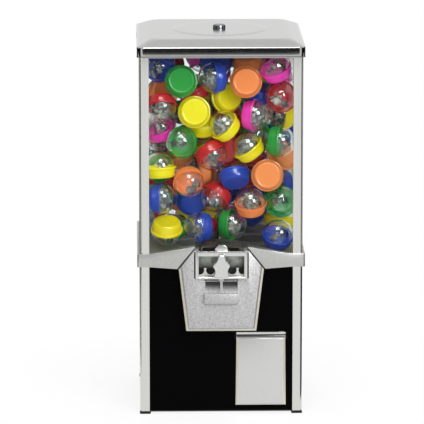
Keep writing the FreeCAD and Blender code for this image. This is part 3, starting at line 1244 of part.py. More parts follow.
def any_spot(room, chance, nearest):
    y = chance.uniform(-room.wall_y + nearest, room.wall_y)
    spot = FreeCAD.Vector(chance.uniform(-room.wall_x, room.wall_x), y, chance.uniform(room.floor, room.top))
    return room.settle(room.settle(spot))


def any_kind(chance):
    way = FreeCAD.Vector(chance.gauss(0, 1), chance.gauss(0, 1), chance.gauss(0, 1))
    return chance.choice(COLOURS), way.normalize()


def crowding(room, spots, held):
    """How deep each capsule lies in its neighbours, all told."""
    deep = [0 for spot in spots]
    for first in range(held, len(spots)):
        for second in range(first):
            gap = 2*room.reach - (spots[first] - spots[second]).Length
            if gap > 0:
                deep[first] += gap
                deep[second] += gap
    return deep


def spread(room, chance, spots, held, share, shake):
    """One turn: each loose capsule moves off those that it overlaps, with a small shake."""
    for place, move in enumerate(push_apart(room, spots, held, share)):
        if place >= held:
            stir = FreeCAD.Vector(*[chance.uniform(-shake, shake) for axis in "xyz"])
            spots[place] = room.settle(room.settle(spots[place] + move*0.5 + stir))


def pour(room, chance, spots, held):
    """Let the loose capsules swell to full size, then take the most crowded out until all fit."""
    for turn in range(SWELL_TURNS):
        done = turn/SWELL_TURNS
        spread(room, chance, spots, held, min(1, 0.8 + 0.27*done), 1.5*(1 - done))
    while len(spots) > held:
        for turn in range(REST_TURNS):
            spread(room, chance, spots, held, 1, 0)
        deep = crowding(room, spots, held)
        if max(deep) < CROWDED:
            return
        spots.pop(max(range(held, len(spots)), key=lambda place: deep[place]))


def fill_bin():
    """Colour, centre and cap direction of every capsule in the bin."""
    room = Bin("capsule_gap", 0.25)
    chance = random.Random(3)
    laid = front_layer(room)
    held = len(laid)
    spots = [spot for colour, spot, way in laid]
    spots += [any_spot(room, chance, 1.2*room.reach) for place in range(room.count() - held)]
    pour(room, chance, spots, held)
    loose = spots[held:] + [any_spot(room, chance, 0) for place in range(2500)]
    for spot in loose:
        colour, way = any_kind(chance)
        if room.clear(spot, [other for kind, other, way_ in laid]):
            laid.append((colour, spot, way))
    return come_to_rest(laid)


capsules = fill_bin()
cap_solid, dome_solid = cap_turn.Shape.Solids[0], dome_form.Shape.Solids[0]
down = FreeCAD.Vector(0, 0, -1)


def placed(form, spot, way):
    copy = form.copy()
    copy.Placement = FreeCAD.Placement(spot, FreeCAD.Rotation(down, way)).multiply(form.Placement)
    return copy


for colour in COLOURS:
    caps = doc.addObject("Part::Feature", f"capsule_caps_{colour}")
    caps.Shape = Part.Compound([placed(cap_solid, spot, way) for kind, spot, way in capsules if kind == colour])
    keep(f"capsule_caps_{colour}", caps)
domes = doc.addObject("Part::Feature", "capsule_domes")
domes.Shape = Part.Compound([placed(dome_solid, spot, way) for kind, spot, way in capsules])
keep("capsule_domes", domes)
doc.recompute()

# Nothing is written unless the whole document is sound.
for thing in doc.Objects:
    if "Invalid" in thing.State or "Error" in thing.State:
        raise ValueError(f"{thing.Label} did not build: {thing.State}")
for label, thing in NODES.items():
    if thing.Shape.isNull() or not thing.Shape.isValid() or thing.Shape.Volume <= 0:
        raise ValueError(f"{label} has no sound solid")
for label, thing in NODES.items():
    thing.Shape.exportStep(f"parts/{label}.step")
print(len(NODES), "pieces", len(capsules), "capsules")
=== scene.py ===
import math
import random

import bmesh
import bpy
import numpy as np
from mathutils import Euler, Matrix, Vector


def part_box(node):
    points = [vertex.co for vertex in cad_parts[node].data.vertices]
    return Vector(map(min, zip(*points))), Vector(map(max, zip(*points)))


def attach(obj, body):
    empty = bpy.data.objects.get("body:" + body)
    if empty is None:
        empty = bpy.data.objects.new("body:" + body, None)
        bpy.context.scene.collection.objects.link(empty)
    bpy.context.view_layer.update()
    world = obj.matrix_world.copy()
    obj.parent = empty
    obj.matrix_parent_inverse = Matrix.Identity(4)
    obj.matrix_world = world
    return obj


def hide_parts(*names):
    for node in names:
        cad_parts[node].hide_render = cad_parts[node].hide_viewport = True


# A square vending machine for toy capsules, dressed in the order in which it is put together.
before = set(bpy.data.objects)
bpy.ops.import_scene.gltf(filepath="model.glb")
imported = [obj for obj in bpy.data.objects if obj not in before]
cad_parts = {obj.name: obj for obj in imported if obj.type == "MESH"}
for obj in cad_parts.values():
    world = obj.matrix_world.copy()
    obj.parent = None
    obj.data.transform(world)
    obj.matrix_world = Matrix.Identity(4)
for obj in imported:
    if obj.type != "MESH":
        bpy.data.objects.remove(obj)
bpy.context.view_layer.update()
scene = bpy.context.scene
MM = 0.001

# Base plate and foot pads. The plate is pressed steel under black powder coat, the pads are
# moulded rubber pushed under the four posts, with edges rounded by the mould.
POWDER = ("#0b0b0c", "#1c1c1d")
POWDER_GRAIN = 1.6*MM
RUBBER = ("#060606", "#121211")
RUBBER_PORE = 0.8*MM
PAD_EDGE = 1.4*MM
# The pads are drawn in under the posts: where that begins, and by what share.
PAD_SEAT = 130*MM
PAD_TUCK = 0.15
# Patches of wear are this many grains wide.
WEAR_PATCH = 30
WHOLE = (0.0, 1.0)
WELD = 1e-6
FLAT_ANGLE = math.radians(0.6)
EDGE_ANGLE = math.radians(32)
EDGE_STEPS = 2


def linear(code):
    """A written colour, #rrggbb, as linear light."""
    parts = [int(code[start:start + 2], 16)/255 for start in (1, 3, 5)]
    return [part/12.92 if part <= 0.04045 else ((part + 0.055)/1.055)**2.4 for part in parts] + [1.0]


def hold(node, values):
    """Set a node's inputs to plain values."""
    for name, value in values.items():
        node.inputs[name].default_value = value


def add_node(tree, kind, values=None, links=None, **options):
    """Add one node with its options, its inputs' values and the sockets that feed it."""
    made = tree.nodes.new(kind)
    for name, value in options.items():
        setattr(made, name, value)
    hold(made, values or {})
    for name, source in (links or {}).items():
        tree.links.new(source, made.inputs[name])
    return made


def new_finish(name):
    """An empty finish: its material, node tree, shader and the piece's own coordinates."""
    material = bpy.data.materials.new(name)
    material.use_nodes = True
    tree = material.node_tree
    place = add_node(tree, "ShaderNodeTexCoord").outputs["Object"]
    return material, tree, tree.nodes["Principled BSDF"], place


def grain(tree, place, size, stretch=(1, 1, 1), detail=2.0):
    """A noise with grains of the given size in metres, drawn out along an axis by stretch."""
    scale = [1/(size*along) for along in stretch]
    mapped = add_node(tree, "ShaderNodeMapping", {"Scale": scale}, {"Vector": place}).outputs[0]
    kind = {"Scale": 1.0, "Detail": detail}
    return add_node(tree, "ShaderNodeTexNoise", kind, {"Vector": mapped}).outputs["Fac"]


def blend_colours(tree, factor, pair):
    ends = {6: linear(pair[0]), 7: linear(pair[1])}
    return add_node(tree, "ShaderNodeMix", ends, {0: factor}, data_type="RGBA").outputs[2]


def ranged(tree, value, source, target):
    """A value carried from one range of numbers over to another, and held at both ends."""
    ends = dict(zip(("From Min", "From Max", "To Min", "To Max"), (*source, *target)))
    return add_node(tree, "ShaderNodeMapRange", ends, {"Value": value}).outputs["Result"]


def surface(tree, shader, colour, pattern, rough, bump, deep):
    """Feed a shader with a colour, a roughness range and a bump of the given depth in metres."""
    relief = add_node(tree, "ShaderNodeBump", {"Strength": bump, "Distance": deep}, {"Height": pattern})
    tree.links.new(colour, shader.inputs["Base Color"])
    tree.links.new(ranged(tree, pattern, WHOLE, rough), shader.inputs["Roughness"])
    tree.links.new(relief.outputs["Normal"], shader.inputs["Normal"])


def coated(name, pair, size, rough, bump=0.25, deep=0.05*MM, shine=0.5):
    """Paint, rubber or moulded plastic: a dielectric in a fresh and a worn colour, with a grain."""
    material, tree, shader, place = new_finish(name)
    pattern = grain(tree, place, size)
    broad = grain(tree, place, WEAR_PATCH*size)
    surface(tree, shader, blend_colours(tree, broad, pair), pattern, rough, bump, deep)
    hold(shader, {"Specular IOR Level": shine})
    return material


def dress(material, *nodes):
    """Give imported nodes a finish."""
    for node in nodes:
        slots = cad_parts[node].data.materials
        slots.clear()
        slots.append(material)


def apply_modifiers(obj):
    """Work an object's modifiers into its mesh."""
    graph = bpy.context.evaluated_depsgraph_get()
    mesh = bpy.data.meshes.new_from_object(obj.evaluated_get(graph))
    obj.modifiers.clear()
    obj.data = mesh


def linked(name, data):
    """A new object in the scene."""
    obj = bpy.data.objects.new(name, data)
    scene.collection.objects.link(obj)
    return obj


def new_piece(name, mesh, material):
    mesh.materials.clear()
    mesh.materials.append(material)
    return linked(name, mesh)


def mark_edges(mesh, angle):
    """Smooth shading, broken at edges sharper than the angle."""
    form = bmesh.new()
    form.from_mesh(mesh)
    for edge in form.edges:
        edge.smooth = len(edge.link_faces) == 2 and edge.calc_face_angle(0) < angle
    for face in form.faces:
        face.smooth = True
    form.to_mesh(mesh)
    form.free()


def settle(piece, body, slot, *nodes):
    """Tell the frame what carries a piece and hide the nodes that it stands for; the finish slot is not
    used.
    """
    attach(piece, body)
    if nodes:
        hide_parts(*nodes)


def softened(node, width, material, body, slot, reshape=None):
    """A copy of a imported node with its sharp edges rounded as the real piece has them."""
    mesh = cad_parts[node].data.copy()
    form = bmesh.new()
    form.from_mesh(mesh)
    bmesh.ops.remove_doubles(form, verts=form.verts, dist=WELD)
    bmesh.ops.dissolve_limit(form, angle_limit=FLAT_ANGLE, verts=form.verts, edges=form.edges)
    if reshape:
        reshape(form)
    form.to_mesh(mesh)
    form.free()
    piece = new_piece(node + "_piece", mesh, material)
    bevel = piece.modifiers.new("rounded_edges", "BEVEL")
    bevel.width = width
    bevel.segments = EDGE_STEPS
    bevel.limit_method = "ANGLE"
    bevel.angle_limit = EDGE_ANGLE
    apply_modifiers(piece)
    mark_edges(piece.data, EDGE_ANGLE)
    settle(piece, body, slot, node)
    return piece


# Powder coat: satin black with the slight orange peel of baked powder.
powder_coat = coated("black_powder_coat_on_steel", POWDER, POWDER_GRAIN, rough=(0.35, 0.5))
dress(powder_coat, "base_plate")
# Moulded rubber: matt black, dusty in its pores.
black_rubber = coated("moulded_black_rubber", RUBBER, RUBBER_PORE, rough=(0.7, 0.9),
                      bump=0.5, shine=0.2)
pads = softened("foot_pads", PAD_EDGE, black_rubber, "cabinet", "foot_rubber")
for corner in pads.data.vertices:
    for axis in (0, 1):
        proud = max(abs(corner.co[axis]) - PAD_SEAT, 0)
        corner.co[axis] -= math.copysign(proud*PAD_TUCK, corner.co[axis])

# Corner posts. Each is an aluminium extrusion with a rounded outer corner, a decor groove and
# slots for the panes, satin anodised, so fine draw lines run up its whole length.
POSTS = ("post_front_left", "post_front_right", "post_back_left", "post_back_right")
ANODISED = ("#dcdcd9", "#cbcbc7")
DRAW_LINE = 0.9*MM
DRAW_STRETCH = (1, 1, 400)


def metal(name, pair, size, rough, bump=0.15, deep=0.03*MM, stretch=(1, 1, 1)):
    """Bare or plated metal, whose grain shows in its tone, gloss and relief."""
    material, tree, shader, place = new_finish(name)
    pattern = grain(tree, place, size, stretch)
    surface(tree, shader, blend_colours(tree, pattern, pair), pattern, rough, bump, deep)
    hold(shader, {"Metallic": 1.0})
    return material


# Anodised aluminium: soft broad highlights, streaked along the extrusion.
satin_aluminium = metal("satin_anodised_aluminium", ANODISED, DRAW_LINE, rough=(0.12, 0.2),
                        bump=0.2, deep=0.02*MM, stretch=DRAW_STRETCH)
dress(satin_aluminium, *POSTS)

# Lower panels. Sheet steel in black stove enamel, slid into the slots of the posts.
PANELS = ("front_panel", "back_panel", "left_panel", "right_panel")
ENAMEL = ("#020203", "#050506")
ENAMEL_RIPPLE = 9*MM
# Stove enamel: deep black and smooth, with a faint ripple in its gloss.
stove_enamel = coated("gloss_black_stove_enamel", ENAMEL, ENAMEL_RIPPLE, rough=(0.2, 0.3),
                      bump=0.06, shine=0.02)
dress(stove_enamel, *PANELS)

# Bin windows. Clear cast acrylic sheet, 3 mm thick, in the same slots over the panels.
WINDOWS = ("front_window", "back_window", "left_window", "right_window")
ACRYLIC_TINT = "#f8fbfa"
ACRYLIC_SHINE = 0.25
ACRYLIC_IOR = 1.3
CLEANING_MARK = 35*MM
WHITE = linear("#ffffff")


def calc(tree, operation, *given):
    """What a sum makes of its inputs, each a socket or a plain number."""
    made = add_node(tree, "ShaderNodeMath", operation=operation)
    for index, value in enumerate(given):
        if isinstance(value, (int, float)):
            hold(made, {index: value})
        else:
            tree.links.new(value, made.inputs[index])
    return made.outputs[0]


def times(tree, first, second):
    return calc(tree, "MULTIPLY", first, second)


def show_mix(tree, share, first, second):
    """Let a finish show two shaders, the second one by a share from 0 to 1."""
    mixed = add_node(tree, "ShaderNodeMixShader", None,
                     {0: share, 1: first.outputs[0], 2: second.outputs[0]})
    tree.links.new(mixed.outputs[0], tree.nodes["Material Output"].inputs["Surface"])


def clear_sheet(name):
    """A thin pane: what is behind it shows unbent, and it mirrors a little at its face."""
    material, tree, shader, place = new_finish(name)
    tree.nodes.remove(shader)
    rough = ranged(tree, grain(tree, place, CLEANING_MARK), WHOLE, (0.01, 0.06))
    mirror = add_node(tree, "ShaderNodeBsdfGlossy", {"Color": WHITE}, {"Roughness": rough})
    through = add_node(tree, "ShaderNodeBsdfTransparent", {"Color": linear(ACRYLIC_TINT)})
    edge = add_node(tree, "ShaderNodeFresnel", {"IOR": ACRYLIC_IOR}).outputs["Fac"]
    show_mix(tree, times(tree, edge, ACRYLIC_SHINE), through, mirror)
    return material


# Cast acrylic: colourless, with a weak mirror and hardly seen cleaning marks.
dress(clear_sheet("clear_cast_acrylic"), *WINDOWS)

# Collar band. Five zinc castings screwed round the posts where bin and cabinet meet; the two
# front ones rise in wedge shoulders to the coin unit. Their edges and corners are rounded.
COLLARS = ("collar_front_left", "collar_front_right", "collar_back", "collar_left", "collar_right")
COLLAR_ZINC = ("#c6c6c3", "#b3b3b0")
COLLAR_CLOUD = 5*MM
CAST_EDGE = 0.7*MM
COLLAR_HALF = 140*MM
COLLAR_CORNER = 3.4*MM
CORNER_STEPS = 4
CORNER_SLACK = 0.1*MM


def round_corners(form):
    """Round the band's upright corners, which stand out to half its width both ways."""
    far = COLLAR_HALF - CORNER_SLACK
    upright = [edge for edge in form.edges
               if all(min(abs(end.co.x), abs(end.co.y)) > far for end in edge.verts)]
    if upright:
        bmesh.ops.bevel(form, geom=upright, offset=COLLAR_CORNER, segments=CORNER_STEPS, profile=0.5,
                        affect="EDGES")


# Zinc casting: satin, a little cloudy, with the soft grain of a tumbled casting.
satin_zinc = metal("satin_zinc_casting", COLLAR_ZINC, COLLAR_CLOUD, rough=(0.28, 0.42),
                   bump=0.12, deep=0.04*MM)
for node in COLLARS:
    softened(node, CAST_EDGE, satin_zinc, "cabinet", "collar_zinc", round_corners)

# Inner steelwork: rails, rod, floor, chute and guides are zinc-plated sheet and bar; the unit case
# that stands up into the bin is folded sheet under grey powder coat.
STEELWORK = ("top_rails", "center_rod", "rod_socket", "floor_spacers", "wheel_floor", "capsule_guard",
             "capsule_chute", "coin_funnel", "drawer_guides", "flap_pin")
PLATED = ("#b9bcbf", "#8f9498")
PLATED_SPANGLE = 7*MM
CASE_COAT = ("#45413b", "#57524a")
# Zinc plate: grey with a broad spangle.
plated_steel = metal("zinc_plated_steel", PLATED, PLATED_SPANGLE, rough=(0.3, 0.5), bump=0.1)
dress(plated_steel, *STEELWORK)
# Grey powder coat: satin, dusted by the capsules that rub on it.
dress(coated("grey_powder_coat_on_steel", CASE_COAT, POWDER_GRAIN, rough=(0.4, 0.55)), "mech_case")

# Bin deck and capsule wheel. The deck is a grey ABS sheet, the wheel a moulded acetal drum with
# five pockets and a toothed foot, on a brass bushing round the centre rod.
DECK = ("#7a7362", "#8f8775")
DECK_GRAIN = 1.2*MM
WHEEL = ("#8d8a84", "#a09d97")
WHEEL_GRAIN = 1.5*MM
BRASS = ("#c9a45c", "#a8843f")
TURNING_MARK = 0.8*MM
# Moulded ABS: half matt, scuffed by capsules.
dress(coated("moulded_grey_abs", DECK, DECK_GRAIN, rough=(0.4, 0.6)), "hopper_deck")
# Acetal: grey and waxy.
dress(coated("moulded_grey_acetal", WHEEL, WHEEL_GRAIN, rough=(0.35, 0.5)), "capsule_wheel")
# Turned brass: warm, with fine turning marks.
turned_brass = metal("turned_brass", BRASS, TURNING_MARK, rough=(0.2, 0.35))
dress(turned_brass, "wheel_bushing", "shaft_bushing", "coin_carrier")

# Coin unit, works. The handle's shaft carries the coin carrier and the pinion that turns the wheel.
PINION = ("#dcd8cc", "#cbc6b7")
PINION_GRAIN = 1*MM
# Nylon: ivory white, slightly waxy.
dress(coated("machined_white_nylon", PINION, PINION_GRAIN, rough=(0.35, 0.5)), "drive_pinion")
dress(plated_steel, "handle_shaft", "shaft_clip")

# Toy capsules. A moulded cap with a rim, a steep side and a ringed flat face holds a clear dome of
# polystyrene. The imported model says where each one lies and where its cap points.
CAPSULE_SEED = 11
CAPSULE_STEPS = 40
CAPSULE_TURN = 6.28
TURNED_ANGLE = math.radians(50)
DOME_RADIUS = 25.75*MM
DOME_WALL = 1.2*MM
DOME_ROWS = 8
DOME_TINT = "#fbfcfc"
DOME_IOR = 1.57
DOME_HAZE = 18*MM
# Skirt of the dome in millimetres: where its chamfer begins, its lowest edge and the chamfer's width.
DOME_SKIRT = (-1.6, -1.9, 0.3)
# Radius and height of the cap in millimetres, outside from the rim to the face, then inside and back.
CAP_PROFILE = (
    (25.82, -2.0), (25.82, 0.9), (26.1, 1.2), (26.7, 1.2), (27.0, 0.9), (27.0, -2.0), (26.85, -2.35),
    (26.5, -2.5), (25.2, -2.6), (24.75, -2.9), (24.6, -3.6), (24.6, -6.5), (24.3, -9.8), (23.6, -12.6),
    (22.8, -14.7), (22.1, -15.9), (21.4, -16.7), (20.8, -17.2), (20.3, -17.5), (19.8, -17.65),
    (19.3, -17.65), (18.8, -17.5), (18.4, -17.35), (17.9, -17.3), (17.1, -17.3), (6.0, -17.3), (0.0, -17.3),
    (0.0, -16.1), (17.5, -16.1), (19.6, -15.6), (21.6, -13.2), (23.0, -8.5), (23.5, -4.0), (24.2, -2.3),
    (25.82, -2.0))
CAP_GRAIN = 0.9*MM
CAP_GLOW = 0.3
CAP_GLOW_DEPTH = 3*MM
CAPSULE_COLOURS = {
    "green": ("#1a9c35", "#128a2b"), "orange": ("#ff9452", "#fb8542"), "yellow": ("#ffe900", "#f5da00"),
    "red": ("#d4202a", "#c01822"), "blue": ("#1f45b5", "#1a3aa2"), "pink": ("#fb3fbc", "#ee30ae")}


def islands(node):
    """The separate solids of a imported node: corner points and area-weighted middle of each."""
    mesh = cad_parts[node].data
    mesh.calc_loop_triangles()
    points = np.array([vertex.co for vertex in mesh.vertices])
    keys, corner = np.unique(np.round(points*1e6).astype(np.int64), axis=0, return_inverse=True)
    corner = corner.reshape(-1)
    triangles = corner[np.array([triangle.vertices for triangle in mesh.loop_triangles])]
    parent = list(range(len(keys)))

    def root(point):
        while parent[point] != point:
            parent[point] = parent[parent[point]]
            point = parent[point]
        return point

    for first, second, third in triangles.tolist():
        low = root(first)
        parent[root(second)] = low
        parent[root(third)] = low
    label = np.array([root(point) for point in range(len(keys))])
    spots = keys*1e-6
    ends = spots[triangles]
    area = np.linalg.norm(np.cross(ends[:, 1] - ends[:, 0], ends[:, 2] - ends[:, 0]), axis=1)
    found = []
    for number in np.unique(label):
        mine = label[triangles[:, 0]] == number
        middle = (ends[mine].mean(axis=1)*area[mine, None]).sum(axis=0)/area[mine].sum()
        found.append((spots[label == number], middle))
    return found


def read_capsules():
    """Colour, middle and cap direction of every capsule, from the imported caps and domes."""
    caps = [(colour, middle) for colour in CAPSULE_COLOURS
            for ends, middle in islands("capsule_caps_" + colour)]
    cap_middles = np.array([middle for colour, middle in caps])
    read = []
    for ends, middle in islands("capsule_domes"):
        nearest = int(np.argmin(np.linalg.norm(cap_middles - middle, axis=1)))
        way = cap_middles[nearest] - middle
        way /= np.linalg.norm(way)
        pole = ((ends - middle) @ -way).max()
        read.append((caps[nearest][0], Vector(middle + way*(DOME_RADIUS - pole)), Vector(way)))
    return read


def to_mesh(form, name):
    """The mesh of a form that is done."""
    mesh = bpy.data.meshes.new(name)
    form.to_mesh(mesh)
    form.free()
    return mesh


def lathe(name, profile, steps):
    """A shape turned round Z from points of radius and height in millimetres."""
    form = bmesh.new()
    rings = []
    for radius, height in profile:
        turns = [2*math.pi*step/steps for step in range(steps if radius > 0 else 1)]
        rings.append([form.verts.new((radius*MM*math.cos(turn), radius*MM*math.sin(turn), height*MM))
                      for turn in turns])
    for low, high in zip(rings, rings[1:]):
        for step in range(steps):
            after = (step + 1) % steps
            corners = [low[step % len(low)], low[after % len(low)],
                       high[after % len(high)], high[step % len(high)]]
            corners = list(dict.fromkeys(corners))
            if len(corners) > 2:
                form.faces.new(corners)
    bmesh.ops.remove_doubles(form, verts=form.verts, dist=WELD)
    bmesh.ops.recalc_face_normals(form, faces=form.faces)
    return to_mesh(form, name)


def dome_profile():
    """Outer and inner wall of the clear half ball with its short skirt."""
    outer, inner = DOME_RADIUS/MM, (DOME_RADIUS - DOME_WALL)/MM
    bend, foot, chamfer = DOME_SKIRT
    turns = [math.pi/2*row/DOME_ROWS for row in range(DOME_ROWS + 1)]
    shell = [(outer*math.sin(turn), outer*math.cos(turn)) for turn in turns]
    lining = [(inner*math.sin(turn), inner*math.cos(turn)) for turn in reversed(turns)]
    return shell + [(outer, bend), (outer - chamfer, foot), (inner + chamfer, foot), (inner, bend)] + lining


def scatter_tree():
    """Node tree that sets one shape on every point, turned by the point's own attribute."""
    tree = bpy.data.node_groups.new("set_on_points", "GeometryNodeTree")
    for name, kind in (("Geometry", "Geometry"), ("Shape", "Object"), ("Finish", "Material")):
        tree.interface.new_socket(name, in_out="INPUT", socket_type="NodeSocket" + kind)
    tree.interface.new_socket("Geometry", in_out="OUTPUT", socket_type="NodeSocketGeometry")
    given = add_node(tree, "NodeGroupInput").outputs
    shape = add_node(tree, "GeometryNodeObjectInfo", {"As Instance": True}, {"Object": given["Shape"]})
    turn = add_node(tree, "GeometryNodeInputNamedAttribute", {"Name": "turn"}, data_type="FLOAT_VECTOR")
    facing = add_node(tree, "FunctionNodeEulerToRotation", None, {0: turn.outputs["Attribute"]})
    spread = add_node(tree, "GeometryNodeInstanceOnPoints", None, {
        "Points": given["Geometry"], "Instance": shape.outputs["Geometry"], "Rotation": facing.outputs[0]})
    whole = add_node(tree, "GeometryNodeRealizeInstances", None, {0: spread.outputs[0]})
    done = add_node(tree, "GeometryNodeSetMaterial", None,
                    {"Geometry": whole.outputs[0], "Material": given["Finish"]})
    add_node(tree, "NodeGroupOutput", None, {0: done.outputs[0]})
    return tree


set_on_points = scatter_tree()


def scattered(name, shape, places, material):
    """One piece with a copy of the shape at each place: point, turn and a tone from 0 to 1."""
    spots, turns, tones = zip(*places)
    points = bpy.data.meshes.new(name + "_points")
    points.from_pydata(spots, [], [])
    notes = points.attributes.new("turn", "FLOAT_VECTOR", "POINT")
    notes.data.foreach_set("vector", [part for turn in turns for part in turn])
    notes = points.attributes.new("tone", "FLOAT", "POINT")
    notes.data.foreach_set("value", tones)
    master = linked(name + "_form", shape)
    piece = new_piece(name, points, material)
    spread = piece.modifiers.new("set_on_points", "NODES")
    spread.node_group = set_on_points
    given = {"Shape": master, "Finish": material}
    for socket in set_on_points.interface.items_tree:
        if socket.in_out == "INPUT" and socket.name in given:
            spread[socket.identifier] = given[socket.name]
    apply_modifiers(piece)
    bpy.data.objects.remove(master)
    return piece


def noted(tree, name):
    """What a piece's mesh notes under a name."""
    return add_node(tree, "ShaderNodeAttribute", attribute_name=name).outputs["Fac"]


def cap_plastic(colour, codes):
    """Moulded polypropylene: strong colour, a soft gloss, and fine spark-eroded grain."""
    material, tree, shader, place = new_finish(f"moulded_polypropylene_{colour}")
    pattern = grain(tree, place, CAP_GRAIN)
    tint = blend_colours(tree, noted(tree, "tone"), codes)
    surface(tree, shader, tint, pattern, rough=(0.16, 0.26), bump=0.1, deep=0.03*MM)
    hold(shader, {"Subsurface Weight": CAP_GLOW, "Subsurface Radius": (1.0, 1.0, 1.0),
                  "Subsurface Scale": CAP_GLOW_DEPTH})
    return material


def clear_plastic(name, tint):
    """Clear moulded plastic that bends light, and lets lamps through to what lies behind it."""
    material, tree, shader, place = new_finish(name)
    rough = ranged(tree, grain(tree, place, DOME_HAZE), WHOLE, (0.0, 0.05))
    hold(shader, {"Base Color": linear(tint), "Transmission Weight": 1.0, "IOR": DOME_IOR})
    tree.links.new(rough, shader.inputs["Roughness"])
    through = add_node(tree, "ShaderNodeBsdfTransparent", {"Color": linear(tint)})
    show_mix(tree, add_node(tree, "ShaderNodeLightPath").outputs["Is Shadow Ray"], shader, through)
    return material


capsules = read_capsules()
chance = random.Random(CAPSULE_SEED)
lie = {}
for colour, middle, way in capsules:
    spun = Euler((0, 0, chance.uniform(0, CAPSULE_TURN))).to_quaternion()
    turn = (-way).to_track_quat("Z", "Y") @ spun
    lie.setdefault(colour, []).append((middle, turn.to_euler(), chance.random()))
for colour, places in lie.items():
    form = lathe("cap_form", CAP_PROFILE, CAPSULE_STEPS)
    mark_edges(form, TURNED_ANGLE)
    caps = scattered("caps_" + colour, form, places, cap_plastic(colour, CAPSULE_COLOURS[colour]))
    settle(caps, "cabinet", "cap_" + colour, "capsule_caps_" + colour)
dome_form = lathe("dome_form", dome_profile(), CAPSULE_STEPS)
mark_edges(dome_form, TURNED_ANGLE)
every_place = sum(lie.values(), [])
clear_polystyrene = clear_plastic("clear_polystyrene", DOME_TINT)
domes = scattered("capsule_domes_clear", dome_form, every_place, clear_polystyrene)
settle(domes, "cabinet", "dome_clear", "capsule_domes")

# Toys in the capsules: plain trinkets, namely cast jacks, bead chains, rings with a cut stone,
# spinning tops and coil springs, moulded in plastic or cast in soft metal. Each dome holds a few of
# them, half of the domes on a crumpled bag of smoky film.
TOYS_EACH = 4
TOY_ROOM = 14*MM
TOY_SPREAD = 0.4
TOY_SINK = 2*MM
TOY_GRAIN = 2*MM
CAST_METAL = ("#8f9193", "#5c5e61", "#86754c", "#6f7174", "#b4b5b6")
DEEP_PLASTIC = ("#4a3a38", "#3a443c", "#6b5c3e", "#3a3f4a", "#4c3f36", "#a8a499", "#333335")
BAG_SIZE = 18*MM
BAG_CREASE = (0.66, 1.15)
BAG_DRAW = 0.85
BAG_SQUASH = 0.55
BAG_SHARE = 0.5
FILM_FOLD = 6*MM
FOLD_TURN = (0.45, 0.58)
FILM = ("#1b1c1b", "#a9a9a6")
FILM_WARM = "#6a5c4c"
FILM_WARMTH = 0.4
FILM_BODY = 0.55
# Radius and height of turned toys, and sizes of bent ones, in millimetres.
JACK_ARM = ((0, -8.2), (1.5, -7.6), (1.9, -6.4), (1.4, -5.2), (0.8, -4.4), (1.0, 0.0), (0.8, 4.4),
            (1.4, 5.2), (1.9, 6.4), (1.5, 7.6), (0, 8.2))
TOP_PROFILE = ((0, -8), (0.6, -7), (2.2, -5), (6.6, -1.2), (7.8, 0.4), (7.4, 1.5), (5.6, 2.4), (2.2, 3.0),
               (1.2, 4.0), (1.0, 8), (0.8, 8.6), (0, 8.8))
STONE_PROFILE = ((0, -1), (2.6, 1.8), (4.0, 3.6), (2.8, 5.0), (0, 5.2))
RING_RADIUS = 7.4
RING_WIRE = 1.2
RING_STEPS = 22
BEAD_RADIUS = 1.35
BEAD_ROWS = 4
CHAIN_BEADS = 30
CHAIN_WIND = 4.4*math.pi
CHAIN_REACH = 6
# The chain swings in and out, and up and down: how far, and how often in a turn.
CHAIN_SWAY = (3, 1.7)
CHAIN_LIFT = (2.2, 2.3)
SPRING_RADIUS = 6.4
SPRING_WIRE = 0.7
SPRING_LENGTH = 12
SPRING_TURNS = 5
SPRING_STEPS = 60
SPRING_SIDES = 5
TOP_STEPS = 14
CAST_STEPS = 8
FINE_STEPS = 6


def joined(name, *meshes):
    form = bmesh.new()
    for mesh in meshes:
        form.from_mesh(mesh)
    return to_mesh(form, name)


def moved(mesh, place, turn=(0, 0, 0)):
    mesh.transform(Matrix.Translation(Vector(place)*MM) @ Euler(turn).to_matrix().to_4x4())
    return mesh


def skin(form, low, high):
    """Close the gap between two rings of corners with faces."""
    for step in range(len(low)):
        after = (step + 1) % len(low)
        form.faces.new((low[step], low[after], high[after], high[step]))


def swept(name, route, radius, sides, closed):
    """A round wire of the given radius along a route of points, all in millimetres."""
    form = bmesh.new()
    rings = []
    last = len(route)
    for index, point in enumerate(route):
        before = route[(index - 1) % last] if closed else route[max(index - 1, 0)]
        after = route[(index + 1) % last] if closed else route[min(index + 1, last - 1)]
        along = (Vector(after) - Vector(before)).normalized()
        side = (side - along*side.dot(along)).normalized() if rings else along.orthogonal().normalized()
        other = along.cross(side)
        turns = [2*math.pi*step/sides for step in range(sides)]
        ring = [Vector(point) + radius*(math.cos(turn)*side + math.sin(turn)*other) for turn in turns]
        rings.append([form.verts.new(spot*MM) for spot in ring])
    for low, high in zip(rings, rings[1:]):
        skin(form, low, high)
    if closed:
        skin(form, rings[-1], rings[0])
    else:
        form.faces.new(rings[0])
        form.faces.new(rings[-1])
    bmesh.ops.recalc_face_normals(form, faces=form.faces)
    return to_mesh(form, name)


def coil_route(radius, length, turns, steps):
    """Points along a coil round Z; one flat turn of it is a ring."""
    route = []
    for step in range(steps):
        turn = 2*math.pi*turns*step/steps
        height = length*(step/steps - 0.5)
        route.append((radius*math.cos(turn), radius*math.sin(turn), height))
    return route


def ball_profile(radius, rows):
    turns = [math.pi*row/rows for row in range(1, rows)]
    wall = [(radius*math.sin(turn), -radius*math.cos(turn)) for turn in turns]
    return [(0, -radius)] + wall + [(0, radius)]


def jack_toy():
    """Three crossed arms with a knob at each end."""
    turns = ((0, 0, 0), (math.pi/2, 0, 0), (0, math.pi/2, 0))
    arms = [moved(lathe("arm", JACK_ARM, CAST_STEPS), (0, 0, 0), turn) for turn in turns]
    return joined("jack_toy", *arms)


